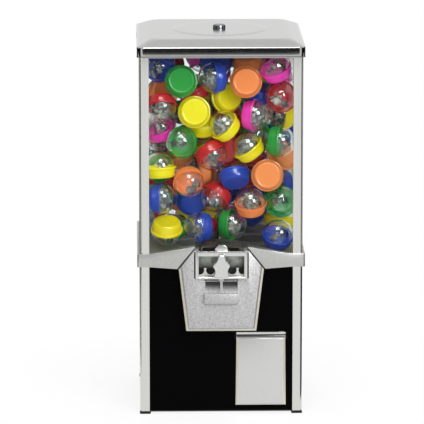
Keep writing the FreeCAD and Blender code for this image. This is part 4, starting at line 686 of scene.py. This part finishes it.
def chain_toy():
    """A bead chain dropped in loose turns."""
    spots = []
    for number in range(CHAIN_BEADS):
        turn = CHAIN_WIND*number/CHAIN_BEADS
        away = CHAIN_REACH + CHAIN_SWAY[0]*math.sin(CHAIN_SWAY[1]*turn)
        lift = CHAIN_LIFT[0]*math.sin(CHAIN_LIFT[1]*turn)
        spots.append((away*math.cos(turn), away*math.sin(turn), lift))
    bead = ball_profile(BEAD_RADIUS, BEAD_ROWS)
    return joined("chain_toy", *[moved(lathe("bead", bead, FINE_STEPS), spot) for spot in spots])


def ring_toy():
    band = swept("band", coil_route(RING_RADIUS, 0, 1, RING_STEPS), RING_WIRE, FINE_STEPS, True)
    stone = lathe("stone", STONE_PROFILE, CAST_STEPS)
    return joined("ring_toy", band, moved(stone, (RING_RADIUS, 0, 0), (0, math.pi/2, 0)))


def spring_toy():
    route = coil_route(SPRING_RADIUS, SPRING_LENGTH, SPRING_TURNS, SPRING_STEPS)
    return swept("spring_toy", route, SPRING_WIRE, SPRING_SIDES, False)


def bag_form():
    """A ball of film, flatter on the cap's side, whose corners are pushed in or out by chance."""
    form = bmesh.new()
    bmesh.ops.create_icosphere(form, subdivisions=3, radius=BAG_SIZE)
    for corner in form.verts:
        corner.co *= chance.uniform(*BAG_CREASE)
        if corner.co.z < 0:
            corner.co *= BAG_DRAW
            corner.co.z *= BAG_SQUASH
    return to_mesh(form, "bag_form")


def toy_finish(name, codes, shine):
    """Plastic or soft metal in a few colours, one for each toy, glossy from the mould."""
    material, tree, shader, place = new_finish(name)
    ramp = add_node(tree, "ShaderNodeValToRGB", None, {0: noted(tree, "tone")})
    stops = ramp.color_ramp.elements
    ramp.color_ramp.interpolation = "CONSTANT"
    stops.remove(stops[1])
    stops[0].color = linear(codes[0])
    for index in range(1, len(codes)):
        stops.new(index/len(codes)).color = linear(codes[index])
    pattern = grain(tree, place, TOY_GRAIN)
    surface(tree, shader, ramp.outputs[0], pattern, rough=(0.16, 0.34), bump=0.1, deep=0.03*MM)
    hold(shader, {"Metallic": shine})
    return material


def share_along(tree, value, start, end):
    """0 before start, 1 after end, and a straight ramp between them."""
    return ranged(tree, value, (start, end), WHOLE)


def over(tree, factor, under, code):
    """A colour laid over another by a factor."""
    given = {0: factor, 6: under}
    return add_node(tree, "ShaderNodeMix", {7: linear(code)}, given, data_type="RGBA").outputs[2]


def smoky_film(name):
    """Crumpled film: patches of light and dark where its folds lie double, glossy at the creases."""
    material, tree, shader, place = new_finish(name)
    folds = grain(tree, place, FILM_FOLD, detail=4.0)
    patches = blend_colours(tree, share_along(tree, folds, *FOLD_TURN), FILM)
    warm = times(tree, noted(tree, "tone"), FILM_WARMTH)
    colour = over(tree, warm, patches, FILM_WARM)
    surface(tree, shader, colour, folds, rough=(0.3, 0.5), bump=0.5, deep=0.6*MM)
    hold(shader, {"Alpha": FILM_BODY})
    return material


toys = [(jack_toy(), "jack_toys", CAST_METAL, 1.0), (chain_toy(), "chain_toys", CAST_METAL, 1.0),
        (ring_toy(), "ring_toys", CAST_METAL, 1.0),
        (lathe("top_toy", TOP_PROFILE, TOP_STEPS), "top_toys", DEEP_PLASTIC, 0.0),
        (spring_toy(), "spring_toys", CAST_METAL, 1.0)]
chosen = {name: [] for mesh, name, codes, shine in toys}
for colour, middle, way in capsules:
    for number in range(TOYS_EACH):
        mesh, name, codes, shine = chance.choice(toys)
        turn = [chance.uniform(-math.pi, math.pi) for axis in range(3)]
        stray = Vector([chance.gauss(0, 1) for axis in range(3)]).normalized()
        stray = stray*TOY_ROOM*chance.random()**TOY_SPREAD
        if stray.dot(way) > 0:
            stray -= 2*stray.dot(way)*way
        chosen[name].append((middle + stray - Vector((0, 0, TOY_SINK)), turn, chance.random()))
bagged = [place for place in every_place if chance.random() < BAG_SHARE]
settle(scattered("film_bags", bag_form(), bagged, smoky_film("smoky_film")), "cabinet", "inner_steel")
for mesh, name, codes, shine in toys:
    mark_edges(mesh, TURNED_ANGLE)
    finish = toy_finish(name + "_finish", codes, shine)
    settle(scattered(name, mesh, chosen[name], finish), "cabinet", "inner_steel")

# Coin unit, outside. The housing is a zinc casting in hammer-finish silver whose bevels are rubbed
# down to the warm metal and painted pale as a highlight; painted shade darkens its thumb scoops, and
# the cup under them catches returned coins.
HAMMER = ("#cfcecd", "#9c9c9f")
HAMMER_DIMPLE = 2.4*MM
HAMMER_FLAKE = 1.3*MM
DIMPLE_SHARE = 0.55
DIMPLE_TURN = (0.15, 0.75)
FLAKE_TURN = (0.3, 0.7)
HAMMER_SHINE = 0.8
# Painted highlight: a pale warm colour on the rubbed bevels and the cup's rim, near the front, less
# metallic so they catch more light.
RUBBED_HIGHLIGHT = "#dad5c5"
RUBBED_HIGHLIGHT_DEPTHS = (-154.2*MM, -153.0*MM)
RUBBED_HIGHLIGHT_SHINE = 0.25
# A face that turns this far from an axis is a bevel, and one past the second number is flat.
BEVEL_TURN = 0.25
FLAT_TURN = 0.96
RIM_TURN = 0.5
# Painted shade in the thumb scoops: its colour, then where the scoops lie across, in depth and in height.
SCOOP_PAINTED_SHADE = "#3c3c3b"
SCOOP_HALF = 29*MM
SCOOP_BLUR = 1*MM
SCOOP_DEPTHS = (-155.6*MM, -151.5*MM)
SCOOP_FOOT = (204*MM, 206*MM)
HOUSING_EDGE = 0.8*MM
HOUSING_FOOT = 160*MM
CUP_EDGE = 0.5*MM


def mark_faces(mesh, name, test):
    """Note on each face whether the test holds, for its finish to read."""
    notes = mesh.attributes.new(name, "FLOAT", "FACE")
    notes.data.foreach_set("value", [float(test(face.normal, face.center)) for face in mesh.polygons])


def housing_bevel(normal, centre):
    """The bevels beside the scoops and along the housing's foot."""
    beside = -FLAT_TURN < normal.y < -BEVEL_TURN and abs(centre.x) > SCOOP_HALF
    return beside or normal.z < -BEVEL_TURN and centre.z < HOUSING_FOOT


def cup_rim(normal, centre):
    return normal.z > RIM_TURN


def axes_of(tree, place):
    return add_node(tree, "ShaderNodeSeparateXYZ", None, {0: place}).outputs


def bare(tree, shader, rubbed, metallic):
    """Metal that scatters more light on the rubbed bevels, where a highlight is painted."""
    left = ranged(tree, rubbed, WHOLE, (metallic, RUBBED_HIGHLIGHT_SHINE*metallic))
    tree.links.new(left, shader.inputs["Metallic"])


def hammered(name):
    """Hammer-finish silver paint: flowed dimples a few millimetres wide over aluminium flake."""
    material, tree, shader, place = new_finish(name)
    kind = {"Scale": 1/HAMMER_DIMPLE}
    cells = add_node(tree, "ShaderNodeTexVoronoi", kind, {"Vector": place}).outputs["Distance"]
    dimples = times(tree, share_along(tree, cells, *DIMPLE_TURN), DIMPLE_SHARE)
    flakes = share_along(tree, grain(tree, place, HAMMER_FLAKE), *FLAKE_TURN)
    pattern = calc(tree, "ADD", times(tree, flakes, 1 - DIMPLE_SHARE), dimples)
    paint = blend_colours(tree, pattern, HAMMER)
    axes = axes_of(tree, place)
    # Painted highlight on the bevels that mark_faces notes, towards the front.
    rubbed = times(tree, noted(tree, "rubbed"), share_along(tree, axes["Y"], *RUBBED_HIGHLIGHT_DEPTHS))
    side = calc(tree, "ABSOLUTE", axes["X"])
    # Painted shade in the scoops: in the middle, behind the front and above the foot.
    middle = share_along(tree, side, SCOOP_HALF, SCOOP_HALF - SCOOP_BLUR)
    deep = share_along(tree, axes["Y"], *SCOOP_DEPTHS)
    high = share_along(tree, axes["Z"], *SCOOP_FOOT)
    scoop_painted_shade = times(tree, middle, times(tree, deep, high))
    colour = over(tree, scoop_painted_shade, over(tree, rubbed, paint, RUBBED_HIGHLIGHT), SCOOP_PAINTED_SHADE)
    surface(tree, shader, colour, pattern, rough=(0.42, 0.58), bump=0.3, deep=0.22*MM)
    bare(tree, shader, rubbed, HAMMER_SHINE)
    return material


hammer_silver = hammered("hammer_finish_silver_on_zinc")
housing = softened("coin_housing", HOUSING_EDGE, hammer_silver, "cabinet", "housing_zinc")
mark_faces(housing.data, "rubbed", housing_bevel)
cup = softened("coin_cup", CUP_EDGE, hammer_silver, "cabinet", "housing_zinc")
mark_faces(cup.data, "rubbed", cup_rim)

# Bezel, top cap and face plate. Chrome-plated castings frame the recess, with a black rubber strip
# down each side as painted shade for the dark line there; the face plate behind them has a polished
# shelf with scallops before a wall painted in shade, darkest at its foot.
CHROME = ("#d9dad7", "#cbccc9")
CHROME_CLOUD = 3*MM
SHELF = ("#d4d6d0", "#cbccc9")
# Painted shade on the recess wall behind the shelf, and darker painted shade low down at the wall's foot.
WALL_PAINTED_SHADE = "#9a9d97"
WALL_FOOT_PAINTED_SHADE = "#262725"
SHELF_DEPTHS = (-148.5*MM, -146.0*MM)
WALL_HEIGHTS = (266*MM, 252*MM)
SHELF_BRUSHING = 0.7*MM
BRUSHED_ACROSS = (60, 1, 1)
RECESS_SHINE = 0.9
BEZEL_EDGE = 0.7*MM
FACEPLATE_EDGE = 0.4*MM
# Black strips beside the bezel stand for the dark line of shade there: painted shade.
SHADOW_STRIP_WIDE = 2.2*MM
SHADOW_STRIP_PROUD = 1.1*MM
SHADOW_STRIP_ENDS = (1*MM, 1.5*MM)
SHADOW_STRIP_STEPS = 8
# Chrome plate: bright and nearly smooth.
chrome_plate = metal("chrome_plated_zinc", CHROME, CHROME_CLOUD, rough=(0.14, 0.24), bump=0.08)


def recess_steel(name):
    """Bright steel on the shelf, painted shade towards the wall, and painted shade blackest at the wall's
    foot.
    """
    material, tree, shader, place = new_finish(name)
    brushing = grain(tree, place, SHELF_BRUSHING, BRUSHED_ACROSS)
    axes = axes_of(tree, place)
    behind = share_along(tree, axes["Y"], *SHELF_DEPTHS)
    low = times(tree, behind, share_along(tree, axes["Z"], *WALL_HEIGHTS))
    bright = blend_colours(tree, brushing, SHELF)
    colour = over(tree, low, over(tree, behind, bright, WALL_PAINTED_SHADE), WALL_FOOT_PAINTED_SHADE)
    surface(tree, shader, colour, brushing, rough=(0.25, 0.4), bump=0.12, deep=0.02*MM)
    hold(shader, {"Metallic": RECESS_SHINE})
    return material


def shadow_strip_mesh(side):
    """A black rubber strip beside the bezel as painted shade: half round in front, flat where it lies on
    the housing.
    """
    low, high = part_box("mech_bezel")
    start, back = side*high[0], high[1]
    bends = [math.pi*step/SHADOW_STRIP_STEPS for step in range(SHADOW_STRIP_STEPS + 1)]
    outline = [(start + side*SHADOW_STRIP_WIDE*(1 - math.cos(bend))/2, back - SHADOW_STRIP_PROUD*math.sin(bend))
               for bend in bends]
    ends = (low[2] + SHADOW_STRIP_ENDS[0], high[2] - SHADOW_STRIP_ENDS[1])
    form = bmesh.new()
    foot, head = [[form.verts.new((x, y, z)) for x, y in outline] for z in ends]
    skin(form, foot, head)
    form.faces.new(foot)
    form.faces.new(head)
    bmesh.ops.recalc_face_normals(form, faces=form.faces)
    mesh = to_mesh(form, "gasket")
    mark_edges(mesh, EDGE_ANGLE)
    return mesh


softened("mech_bezel", BEZEL_EDGE, chrome_plate, "cabinet", "bezel_chrome")
softened("mech_cap", BEZEL_EDGE, chrome_plate, "cabinet", "bezel_chrome")
softened("mech_faceplate", FACEPLATE_EDGE, recess_steel("dulled_brushed_steel"), "cabinet", "recess_metal")
# Painted shade: a black strip down each side of the bezel.
for side, name in ((-1, "bezel_gasket_left"), (1, "bezel_gasket_right")):
    settle(new_piece(name, shadow_strip_mesh(side), black_rubber), "cabinet", "foot_rubber")

# Turn handle. A bell-shaped chrome-plated casting pressed on the shaft.
HANDLE_EDGE = 0.6*MM
softened("turn_handle", HANDLE_EDGE, chrome_plate, "handle", "handle_chrome")

# Prize door. A pressed steel flap swings on a pin under a hood strip; the hood's flange and ears are
# blacked like the panel. The flap's bevels are rubbed down to the warm metal and painted pale as a
# highlight as the housing's are, and its top curl is painted in shade under the hood.
FLAP_STEEL = ("#d6d6d5", "#cacac9")
FLAP_ROLLING = 1.1*MM
FLAP_STRETCH = (1, 1, 14)
FLAP_EDGE = 0.6*MM
# Painted shade under the hood strip: the flap's top curl darkens towards the top over these heights.
CURL_PAINTED_SHADE = "#5c5c5b"
FLAP_CURL = (130.5*MM, 134.0*MM)
HOOD_SPAN = (25.6*MM, 107.6*MM)
HOOD_BLUR = 0.1*MM
HOOD_EDGE = 0.4*MM
EAR_SHINE = 0.1


def flap_bevel(normal, centre):
    return abs(normal.x) > BEVEL_TURN and normal.y < -BEVEL_TURN


def flap_sheet(name):
    """Plated sheet: pale and even, with the faint grain of rolled steel, rubbed bevels painted as a
    highlight and a curl in painted shade.
    """
    material, tree, shader, place = new_finish(name)
    rolled = grain(tree, place, FLAP_ROLLING, FLAP_STRETCH)
    # Painted highlight on the flap's side bevels, as on the housing's.
    rubbed = noted(tree, "rubbed")
    # Painted shade under the hood.
    hood_shade = share_along(tree, axes_of(tree, place)["Z"], *FLAP_CURL)
    plain = over(tree, hood_shade, blend_colours(tree, rolled, FLAP_STEEL), CURL_PAINTED_SHADE)
    colour = over(tree, rubbed, plain, RUBBED_HIGHLIGHT)
    surface(tree, shader, colour, rolled, rough=(0.26, 0.36), bump=0.06, deep=0.02*MM)
    bare(tree, shader, rubbed, 1.0)
    return material


def hood_finish(name):
    """Chrome on the strip over the flap, black enamel on the ears beside it."""
    material, tree, shader, place = new_finish(name)
    buffing = grain(tree, place, CHROME_CLOUD)
    across = axes_of(tree, place)["X"]
    left = share_along(tree, across, HOOD_SPAN[0] - HOOD_BLUR, HOOD_SPAN[0])
    right = share_along(tree, across, HOOD_SPAN[1] + HOOD_BLUR, HOOD_SPAN[1])
    plated = times(tree, left, right)
    black = calc(tree, "SUBTRACT", 1.0, plated)
    colour = over(tree, black, blend_colours(tree, buffing, CHROME), ENAMEL[0])
    surface(tree, shader, colour, buffing, rough=(0.14, 0.24), bump=0.08, deep=0.03*MM)
    tree.links.new(plated, shader.inputs["Metallic"])
    hold(shader, {"Specular IOR Level": EAR_SHINE})
    return material


flap = softened("prize_flap", FLAP_EDGE, flap_sheet("plated_pressed_steel"), "flap", "flap_steel")
mark_faces(flap.data, "rubbed", flap_bevel)
softened("flap_hood", HOOD_EDGE, hood_finish("chrome_strip_with_black_ears"), "cabinet", "bezel_chrome")

# Cash drawer at the back. A folded steel tray with a face plate and a cam lock.
DRAWER_STEEL = ("#9a9c9d", "#84878a")
DRAWER_BRUSHING = 0.8*MM
DRAWER_EDGE = 0.5*MM
BARREL_EDGE = 0.6*MM
CORE_EDGE = 0.25*MM
# Brushed steel: drawn across, half matt.
drawer_sheet = metal("brushed_drawer_steel", DRAWER_STEEL, DRAWER_BRUSHING, rough=(0.3, 0.45),
                     deep=0.02*MM, stretch=BRUSHED_ACROSS)
softened("cash_drawer", DRAWER_EDGE, drawer_sheet, "drawer", "drawer_steel")
softened("drawer_lock_barrel", BARREL_EDGE, chrome_plate, "drawer", "lock_chrome")
softened("drawer_lock_core", CORE_EDGE, turned_brass, "drawer_lock", "lock_core")

# Lid. One sheet of polished steel pressed to a hipped crown with a raised round field, its skirt
# folded down over the top rails and hemmed. Its lock is chromed brass in a colour painted dark as a
# dark reflection, with a steel core.
LID_HALF = 139.5
LID_STEPS = (14, 8)
LID_BLENDS = 6
LID_STEEL = ("#b8b8b7", "#adadac")
LID_BUFFING = 6*MM
LID_SHEET = 1.2*MM
LID_ANGLE = math.radians(40)
LID_HAZE = (624.0*MM, 626.0*MM)
LID_GLOSS = (0.05, 0.2)
# Painted dark reflection on the lock barrel's chrome.
LOCK_CHROME = ("#77797a", "#5f6162")
LOCK_CLOUD = 2*MM
LOCK_ROUND = 1.7*MM
# Inset from the skirt, height and corner radius of each ring, from the hem up.
LID_RINGS = (
    (0.6, 606.2, 11), (0.1, 606.4, 11), (-0.25, 607.0, 11), (-0.25, 607.9, 11), (0.05, 608.5, 11),
    (0.2, 609.2, 11), (0.0, 610.4, 11), (0.0, 611.0, 11), (0.0, 616.0, 11), (0.0, 622.4, 11),
    (0.0, 622.9, 11), (0.15, 623.5, 11), (0.5, 623.9, 11), (1.1, 624.2, 11.2), (3.2, 625.0, 11.5),
    (6.0, 626.1, 12), (12.0, 628.9, 13.5), (18.0, 631.7, 15), (21.0, 632.9, 16), (23.5, 633.7, 17),
    (26.5, 634.2, 18), (30.0, 634.4, 20))
# Radius and height of each ring of the round field, towards the middle.
FIELD_RINGS = (
    (84.0, 634.4), (81.0, 634.45), (79.0, 634.7), (77.0, 635.1), (75.0, 635.4), (72.0, 635.5),
    (60.0, 635.5), (40.0, 635.5), (20.0, 635.5), (12.5, 635.5), (11.2, 635.2), (10.7, 634.4))


def lid_ring(inset, height, radius):
    """Points round a rounded square, from the middle of one corner on."""
    straight, bend = LID_STEPS
    half = LID_HALF - inset
    seat = half - radius
    ring = []
    for quarter in range(4):
        turned = Matrix.Rotation(quarter*math.pi/2, 2)
        for step in range(bend):
            angle = math.pi/2*step/bend
            ring.append(turned @ Vector((seat + radius*math.cos(angle), seat + radius*math.sin(angle))))
        for step in range(straight):
            ring.append(turned @ Vector((seat - 2*seat*step/straight, half)))
    return [Vector((point.x, point.y, height)) for point in ring]


def lid_mesh():
    rows = [lid_ring(*row) for row in LID_RINGS]
    crown = rows[-1]
    ways = [Vector((point.x, point.y)).normalized() for point in crown]
    field = [[Vector((way.x*radius, way.y*radius, height)) for way in ways]
             for radius, height in FIELD_RINGS]
    for step in range(1, LID_BLENDS):
        rows.append([square.lerp(bend, step/LID_BLENDS) for square, bend in zip(crown, field[0])])
    rows += field
    form = bmesh.new()
    rings = [[form.verts.new(point*MM) for point in row] for row in rows]
    for low, high in zip(rings, rings[1:]):
        skin(form, low, high)
    bmesh.ops.recalc_face_normals(form, faces=form.faces)
    if max(form.faces, key=lambda face: face.calc_center_median().z).normal.z < 0:
        bmesh.ops.reverse_faces(form, faces=form.faces)
    return to_mesh(form, "lid_piece")


def lid_sheet(name):
    """Stainless sheet: mirror-like on the skirt, hazed on top by wiping and dust."""
    material, tree, shader, place = new_finish(name)
    buffing = grain(tree, place, LID_BUFFING)
    colour = blend_colours(tree, buffing, LID_STEEL)
    surface(tree, shader, colour, buffing, rough=LID_GLOSS, bump=0.012, deep=0.02*MM)
    hazed = ranged(tree, axes_of(tree, place)["Z"], LID_HAZE, LID_GLOSS)
    tree.links.new(hazed, shader.inputs["Roughness"])
    hold(shader, {"Metallic": 1.0})
    return material


lid = new_piece("lid_piece", lid_mesh(), lid_sheet("polished_stainless_sheet"))
wall = lid.modifiers.new("sheet", "SOLIDIFY")
wall.thickness = LID_SHEET
wall.offset = -1
apply_modifiers(lid)
mark_edges(lid.data, LID_ANGLE)
settle(lid, "lid", "lid_steel", "lid")
# Chromed brass of the lock: glossy, its colour painted dark as the dark reflection it shows.
painted_dark_chrome = metal("black_chromed_brass", LOCK_CHROME, LOCK_CLOUD, rough=(0.2, 0.3), bump=0.05)
softened("lid_lock_barrel", LOCK_ROUND, painted_dark_chrome, "lid", "lock_chrome")
softened("lid_lock_core", CORE_EDGE, drawer_sheet, "lid_lock", "lock_core")

# Studio: a white floor that keeps the shadow, three square soft boxes in front and one behind, a weak
# sky, and cards that only reflections see, which give the polished metal its dark edges.
FLOOR_SIZE = 14.0
FLOOR_ROUGH = 0.9
SKY = 0.36
SEEN = 1.0
# How much of its own white the floor shows, and how far from the middle that grows.
FLOOR_GLOW = (0.85, 1.0)
SHADOW_REACH = (0.22, 0.5)
CAMERA_TARGET = Vector((-12.12, 0.0, 318.86))*MM
CAMERA_DISTANCE = 6.0
CAMERA_RISE = math.radians(11.570)
CAMERA_TURN = math.radians(-1.315)
CAMERA_LENS = 298.87
CAMERA_SENSOR = 36.0
CAMERA_REACH = 50.0
LIT_PLACE = Vector((0.0, -0.13, 0.44))
# Each soft box: its turn to the right and rise from the bin, distance, width, brightness, the brightness
# of the card that clear plastic mirrors (0: it only fills shadows), and whether it lights the lid.
SOFT_BOXES = ((0.0, 58.5, 2.2, 1.02, 6.0, 9.5, True), (30.0, 27.0, 2.2, 0.9, 6.6, 9.0, False),
              (-8.0, 14.0, 2.6, 1.2, 3.6, 0.0, True), (180.0, 35.0, 2.6, 1.4, 4.5, 0.0, True))
# Each mirrored card stands behind its soft box, by this share of half its width.
GLINT_GAP = 0.02
# Dark cards that stand beside the machine: sides, distance, turn of both edges from the front, height.
BOTH = (-1, 1)
SIDE_DARK = 0.02
SIDE_CARDS = ((BOTH, 1.25, 46, 82, 1.2), (BOTH, 1.25, 98, 150, 1.2), (BOTH, 0.5, 60, 82, 0.2),
              (BOTH, 0.5, 98, 140, 0.2), ((1,), 0.48, 47, 126, 0.2), ((1,), 0.3, 47, 112, 0.08))
# Dark strips that the lid's skirt mirrors: distance from the middle, half length, lower and upper edge.
SKIRT_CARD = (0.6, 0.28, 0.5390, 0.556)
# Grey card in front that keeps clear plastic from mirroring white: both ends, lower and upper edge, tone.
FRONT_CARD = ((-5.0, -3.5), (5.0, -3.5), 0.35, 6.0, 0.5)


def seen_share(tree):
    """1 for what the camera, a mirror or clear plastic shows, and 0 for light that lands on a surface."""
    ray = add_node(tree, "ShaderNodeLightPath").outputs
    shown = calc(tree, "MAXIMUM", ray["Is Camera Ray"], ray["Is Glossy Ray"])
    return calc(tree, "MAXIMUM", shown, ray["Is Transmission Ray"])


def white_world():
    world = bpy.data.worlds.new("studio")
    scene.world = world
    world.use_nodes = True
    tree = world.node_tree
    sky = tree.nodes["Background"]
    hold(sky, {"Color": WHITE})
    tree.links.new(ranged(tree, seen_share(tree), WHOLE, (SKY, SEEN)), sky.inputs["Strength"])


def white_glow(tree, strength):
    return add_node(tree, "ShaderNodeEmission", {"Color": WHITE, "Strength": strength})


def floor_finish():
    """White paper that keeps a faint shadow near the machine and is plain white farther off."""
    material, tree, shader, place = new_finish("white_paper_floor")
    hold(shader, {"Base Color": WHITE, "Roughness": FLOOR_ROUGH})
    away = add_node(tree, "ShaderNodeVectorMath", None, {0: place}, operation="LENGTH").outputs["Value"]
    own = ranged(tree, away, SHADOW_REACH, FLOOR_GLOW)
    show_mix(tree, times(tree, own, seen_share(tree)), shader, white_glow(tree, SEEN))
    return material


def card_finish(name, tone, see_through):
    """Even glow; a see-through card also shows what stands behind it."""
    material, tree, shader, place = new_finish(name)
    glow = white_glow(tree, tone).outputs[0]
    if see_through:
        clear = add_node(tree, "ShaderNodeBsdfTransparent").outputs[0]
        glow = add_node(tree, "ShaderNodeAddShader", None, {0: clear, 1: glow}).outputs[0]
    tree.links.new(glow, tree.nodes["Material Output"].inputs["Surface"])
    return material


def sheet(name, corners, material):
    mesh = bpy.data.meshes.new(name)
    mesh.from_pydata(corners, [], [(0, 1, 2, 3)])
    piece = new_piece(name, mesh, material)
    return piece


def card(name, corners, tone, see_through=False):
    """A sheet that only reflections see."""
    piece = sheet(name, corners, card_finish(name, tone, see_through))
    for kind in ("camera", "diffuse", "transmission", "shadow"):
        setattr(piece, "visible_" + kind, False)
    return piece


def all_but_the_lid():
    """What the low soft box lights: not the lid, whose mirror-like top would show it as a white field."""
    lit = bpy.data.collections.new("all_but_the_lid")
    lit.objects.link(lid)
    lit.collection_objects[0].light_linking.link_state = "EXCLUDE"
    return lit


def upright(name, first, second, low, high, tone):
    card(name, [(*first, low), (*second, low), (*second, high), (*first, high)], tone)


def side_card(index, sides, distance, start, end, high):
    turns = [math.radians(turn) for turn in (start, end)]
    for side in sides:
        first, second = [(side*distance*math.sin(turn), -distance*math.cos(turn)) for turn in turns]
        upright(f"side_card_{index}_{side}", first, second, 0.0, high, SIDE_DARK)


def skirt_cards(distance, half, low, high):
    for index in range(4):
        turned = Matrix.Rotation(index*math.pi/2, 2)
        first, second = turned @ Vector((-half, -distance)), turned @ Vector((half, -distance))
        upright(f"skirt_card_{index}", first, second, low, high, 0.0)


def away_from(turn, rise):
    """The way from the machine to something turned to the right of its front and raised."""
    return Vector((math.sin(turn)*math.cos(rise), -math.cos(turn)*math.cos(rise), math.sin(rise)))


def soft_box(index, turn, rise, distance, width, brightness, glint, on_lid):
    """A square lamp that faces the bin, with a bright card behind it if plastic is to mirror it."""
    lamp = bpy.data.lights.new(f"soft_box_{index}", "AREA")
    lamp.shape = "SQUARE"
    lamp.size = width
    lamp.energy = brightness*math.pi*width*width
    holder = linked(lamp.name, lamp)
    way = away_from(math.radians(turn), math.radians(rise))
    holder.location = LIT_PLACE + way*distance
    turned = way.to_track_quat("Z", "Y")
    holder.rotation_euler = turned.to_euler()
    holder.visible_camera = False
    if not glint:
        holder.visible_glossy = False
        return
    ends = [Vector((x, y, GLINT_GAP))*width/2 for x, y in ((-1, -1), (1, -1), (1, 1), (-1, 1))]
    shine = card(f"glint_{index}", [holder.location + turned @ end for end in ends], glint, True)
    if not on_lid:
        for source in (holder, shine):
            source.light_linking.receiver_collection = all_but_the_lid()


def camera():
    lens = bpy.data.cameras.new("camera")
    lens.lens = CAMERA_LENS
    lens.sensor_width = CAMERA_SENSOR
    lens.clip_end = CAMERA_REACH
    eye = linked("camera", lens)
    back = away_from(CAMERA_TURN, CAMERA_RISE)
    eye.location = CAMERA_TARGET + back*CAMERA_DISTANCE
    eye.rotation_euler = back.to_track_quat("Z", "Y").to_euler()
    scene.camera = eye


white_world()
half = FLOOR_SIZE/2
sheet("floor", [(-half, -half, 0), (half, -half, 0), (half, half, 0), (-half, half, 0)], floor_finish())
for index, box in enumerate(SOFT_BOXES):
    soft_box(index, *box)
for index, flag in enumerate(SIDE_CARDS):
    side_card(index, *flag)
skirt_cards(*SKIRT_CARD)
upright("front_card", *FRONT_CARD)
camera()

scene.view_settings.view_transform = "Standard"
scene.cycles.max_bounces = 24
scene.cycles.transmission_bounces = 20
scene.cycles.glossy_bounces = 6
scene.cycles.diffuse_bounces = 4
scene.cycles.transparent_max_bounces = 48
